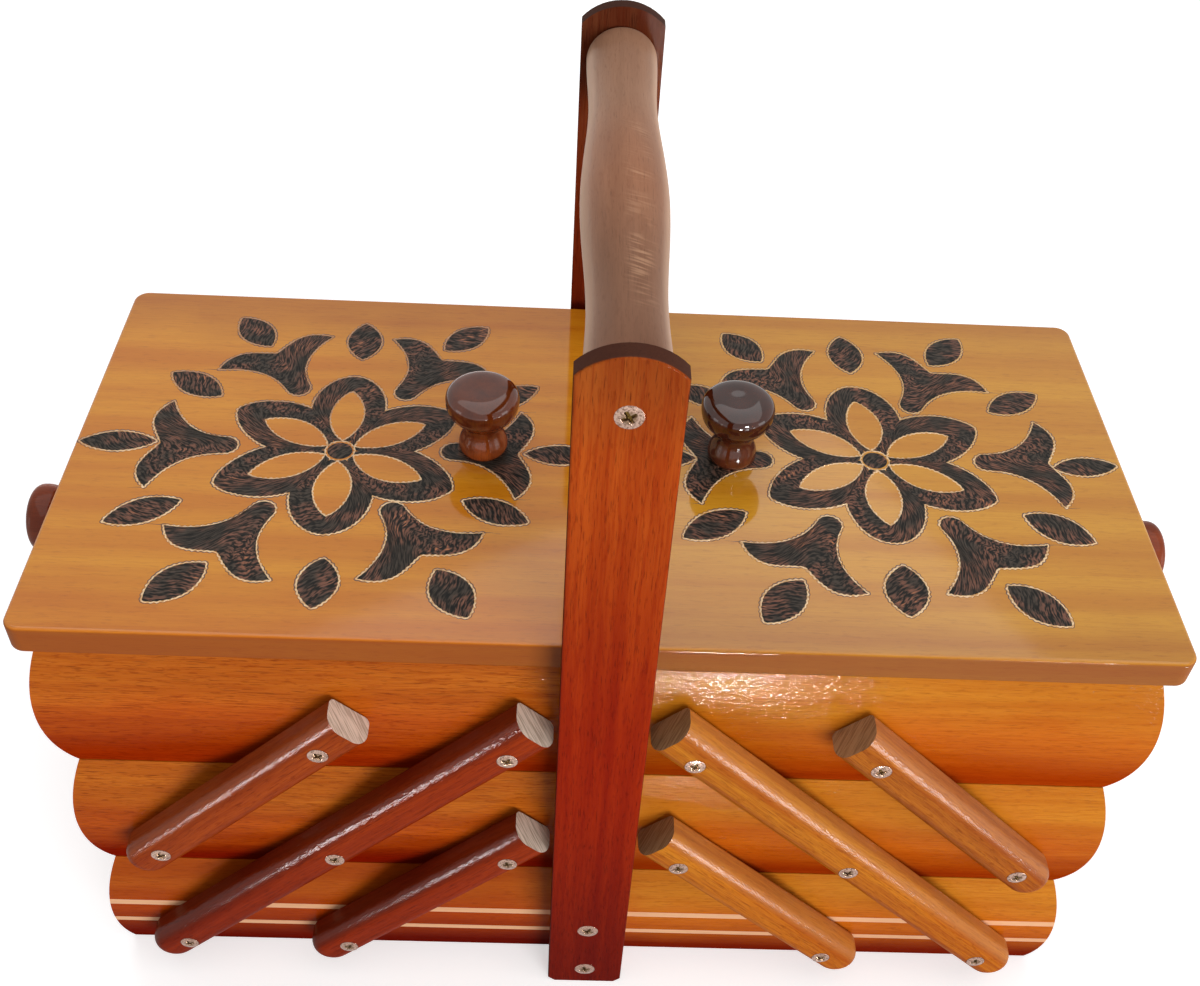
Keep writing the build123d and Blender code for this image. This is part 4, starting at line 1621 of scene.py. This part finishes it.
@dataclass
class Studio:
    """Pale floor, white surroundings, lamps and the camera.

    The angles are in radians. The floor glows by a share of white that rises to all of it between
    two distances from the box.
    """

    camera_place: Triple = (-0.017752, -0.364552, 0.534613)
    yaw: float = 0.043563
    pitch: float = 0.769022
    roll: float = 0.064532
    focal_pixels: float = 1368.707
    frame_width: float = 1200.0
    sensor: float = 36.0
    floor_half: float = 12.0
    floor_glow: float = 0.50
    glow_start: float = 0.5
    glow_end: float = 3.5
    ambient: float = 0.22

    def build(self) -> None:
        """Make the floor, the world, the lamps and the camera."""
        bpy.context.scene.view_settings.view_transform = "Standard"
        self.floor()
        self.world()
        for lamp in LAMPS:
            lamp.hang()
        self.camera()

    def floor(self) -> None:
        """Lay a pale floor that keeps the box's shadow, and throws little light back up at it."""
        half = self.floor_half
        corners = [(-half, -half, 0.0), (half, -half, 0.0), (half, half, 0.0), (-half, half, 0.0)]
        mesh = bpy.data.meshes.new("floor")
        mesh.from_pydata(corners, [], [(0, 1, 2, 3)])
        floor = bpy.data.objects.new("floor", mesh)
        bpy.context.scene.collection.objects.link(floor)
        g = Graph("pale_floor")
        rays = g.tree.nodes.new("ShaderNodeLightPath")
        seen = g.math("MAXIMUM", rays.outputs["Is Camera Ray"], rays.outputs["Is Glossy Ray"])
        g.give("Base Color", g.mix(seen, (0.45, 0.45, 0.45), (0.8, 0.8, 0.8)))
        g.give("Roughness", 0.9)
        g.give("Specular IOR Level", 0.0)
        distance = g.tree.nodes.new("ShaderNodeVectorMath")
        distance.operation = "LENGTH"
        g.link(g.coordinate("Object"), distance.inputs[0])
        away = g.step(distance.outputs["Value"], self.glow_start, self.glow_end)
        glow = g.math("ADD", g.math("MULTIPLY", away, 1.0 - self.floor_glow), self.floor_glow)
        g.give("Emission Color", (1.0, 1.0, 1.0))
        g.give("Emission Strength", g.math("MULTIPLY", seen, glow))
        mesh.materials.append(g.material)

    def world(self) -> None:
        """Even white surroundings, brighter where the camera or a shiny surface sees them."""
        world = bpy.data.worlds.new("surroundings")
        bpy.context.scene.world = world
        world.use_nodes = True
        tree = world.node_tree
        tree.nodes.clear()
        output = tree.nodes.new("ShaderNodeOutputWorld")
        background = tree.nodes.new("ShaderNodeBackground")
        background.inputs["Color"].default_value = (1.0, 1.0, 1.0, 1.0)
        path = tree.nodes.new("ShaderNodeLightPath")
        seen = tree.nodes.new("ShaderNodeMath")
        seen.operation = "MAXIMUM"
        tree.links.new(path.outputs["Is Camera Ray"], seen.inputs[0])
        tree.links.new(path.outputs["Is Glossy Ray"], seen.inputs[1])
        strength = tree.nodes.new("ShaderNodeMapRange")
        strength.inputs["To Min"].default_value = self.ambient
        strength.inputs["To Max"].default_value = 1.0
        tree.links.new(seen.outputs[0], strength.inputs["Value"])
        tree.links.new(strength.outputs["Result"], background.inputs["Strength"])
        tree.links.new(background.outputs["Background"], output.inputs["Surface"])

    def camera(self) -> None:
        """Set the camera up.

        It looks along (sin yaw cos pitch, cos yaw cos pitch, -sin pitch), with its right and up
        directions turned about that by the roll.
        """
        ahead = Vector((math.sin(self.yaw) * math.cos(self.pitch),
                        math.cos(self.yaw) * math.cos(self.pitch), -math.sin(self.pitch)))
        level = ahead.cross(Vector(UP)).normalized()
        above = level.cross(ahead)
        right = level * math.cos(self.roll) + above * math.sin(self.roll)
        up = above * math.cos(self.roll) - level * math.sin(self.roll)
        data = bpy.data.cameras.new("camera")
        data.sensor_width = self.sensor
        data.lens = self.focal_pixels / self.frame_width * self.sensor
        camera = bpy.data.objects.new("camera", data)
        turn = Matrix((right, up, -ahead)).transposed().to_4x4()
        camera.matrix_world = Matrix.Translation(self.camera_place) @ turn
        bpy.context.scene.collection.objects.link(camera)
        bpy.context.scene.camera = camera


PIVOTS = (2.5 * PIVOT_PITCH, 1.5 * PIVOT_PITCH, 0.5 * PIVOT_PITCH)
FIRST_LINE = 25 * MM
PIVOT_LINES = (FIRST_LINE, FIRST_LINE + TIER_PITCH, FIRST_LINE + 2 * TIER_PITCH)
ARM_FACE = 101 * MM
POST_FACE = 100.5 * MM
POST_SCREW_HEIGHTS = (306 * MM, 41 * MM, 10 * MM)


def screw_sets() -> list[ScrewSet]:
    """Every node of screws, with where its heads are.

    Returns:
        The sets.
    """
    def heads(sides: tuple[Side, ...], indices: tuple[int, ...], tier: int) -> list[Triple]:
        """Heads on the front and back of the arms of a tier, at the pivots of the given indices."""
        return [(side.value * PIVOTS[i], y, PIVOT_LINES[tier])
                for side in sides for i in indices for y in (-ARM_FACE, ARM_FACE)]

    sets = [ScrewSet("base_pivot_screws", "base", heads((Side.LEFT, Side.RIGHT), (0, 1), 0))]
    for side in Side:
        p = side.prefix
        sets.append(ScrewSet(f"{p}_middle_pivot_screws", f"{p}_middle_tray", heads((side,), (0, 1, 2), 1)))
        sets.append(ScrewSet(f"{p}_top_pivot_screws", f"{p}_top_tray", heads((side,), (1, 2), 2)))
    posts = [(0.0, y, z) for z in POST_SCREW_HEIGHTS for y in (-POST_FACE, POST_FACE)]
    sets.append(ScrewSet("handle_screws", "base", posts, shank=2 * MM, head=4 * MM))
    return sets


def main() -> None:
    """Dress the box, piece by piece, and light it."""
    logging.basicConfig(level=logging.INFO)
    Tray("base", BASE_BOARDS, Side.RIGHT, BASE_FOOT_SHADE, BASE_TINTS).build()
    dress("base_inlay", INLAY)
    for side in Side:
        for level in ("middle", "top"):
            Tray(f"{side.prefix}_{level}", tray_boards(side), side, TRAY_FOOT_SHADES[level, side],
                 TRAY_TINTS.get((level, side), ())).build()
        for place in ("front", "back"):
            for kind in ("long", "lower", "upper"):
                dress(f"{side.prefix}_{place}_{kind}_arm", arm_wood(side, outer=kind == "upper"))
    Lid(Side.LEFT, rosette_centre=(-0.0960, -0.0020), rosette_turn=math.radians(-0.5), seed=3.0).build()
    Lid(Side.RIGHT, rosette_centre=(0.0978, 0.0028), rosette_turn=math.radians(1.5), seed=8.0).build()
    Handle().build()
    for screws in screw_sets():
        screws.build()
    Studio().build()


if __name__ == "__main__":
    main()
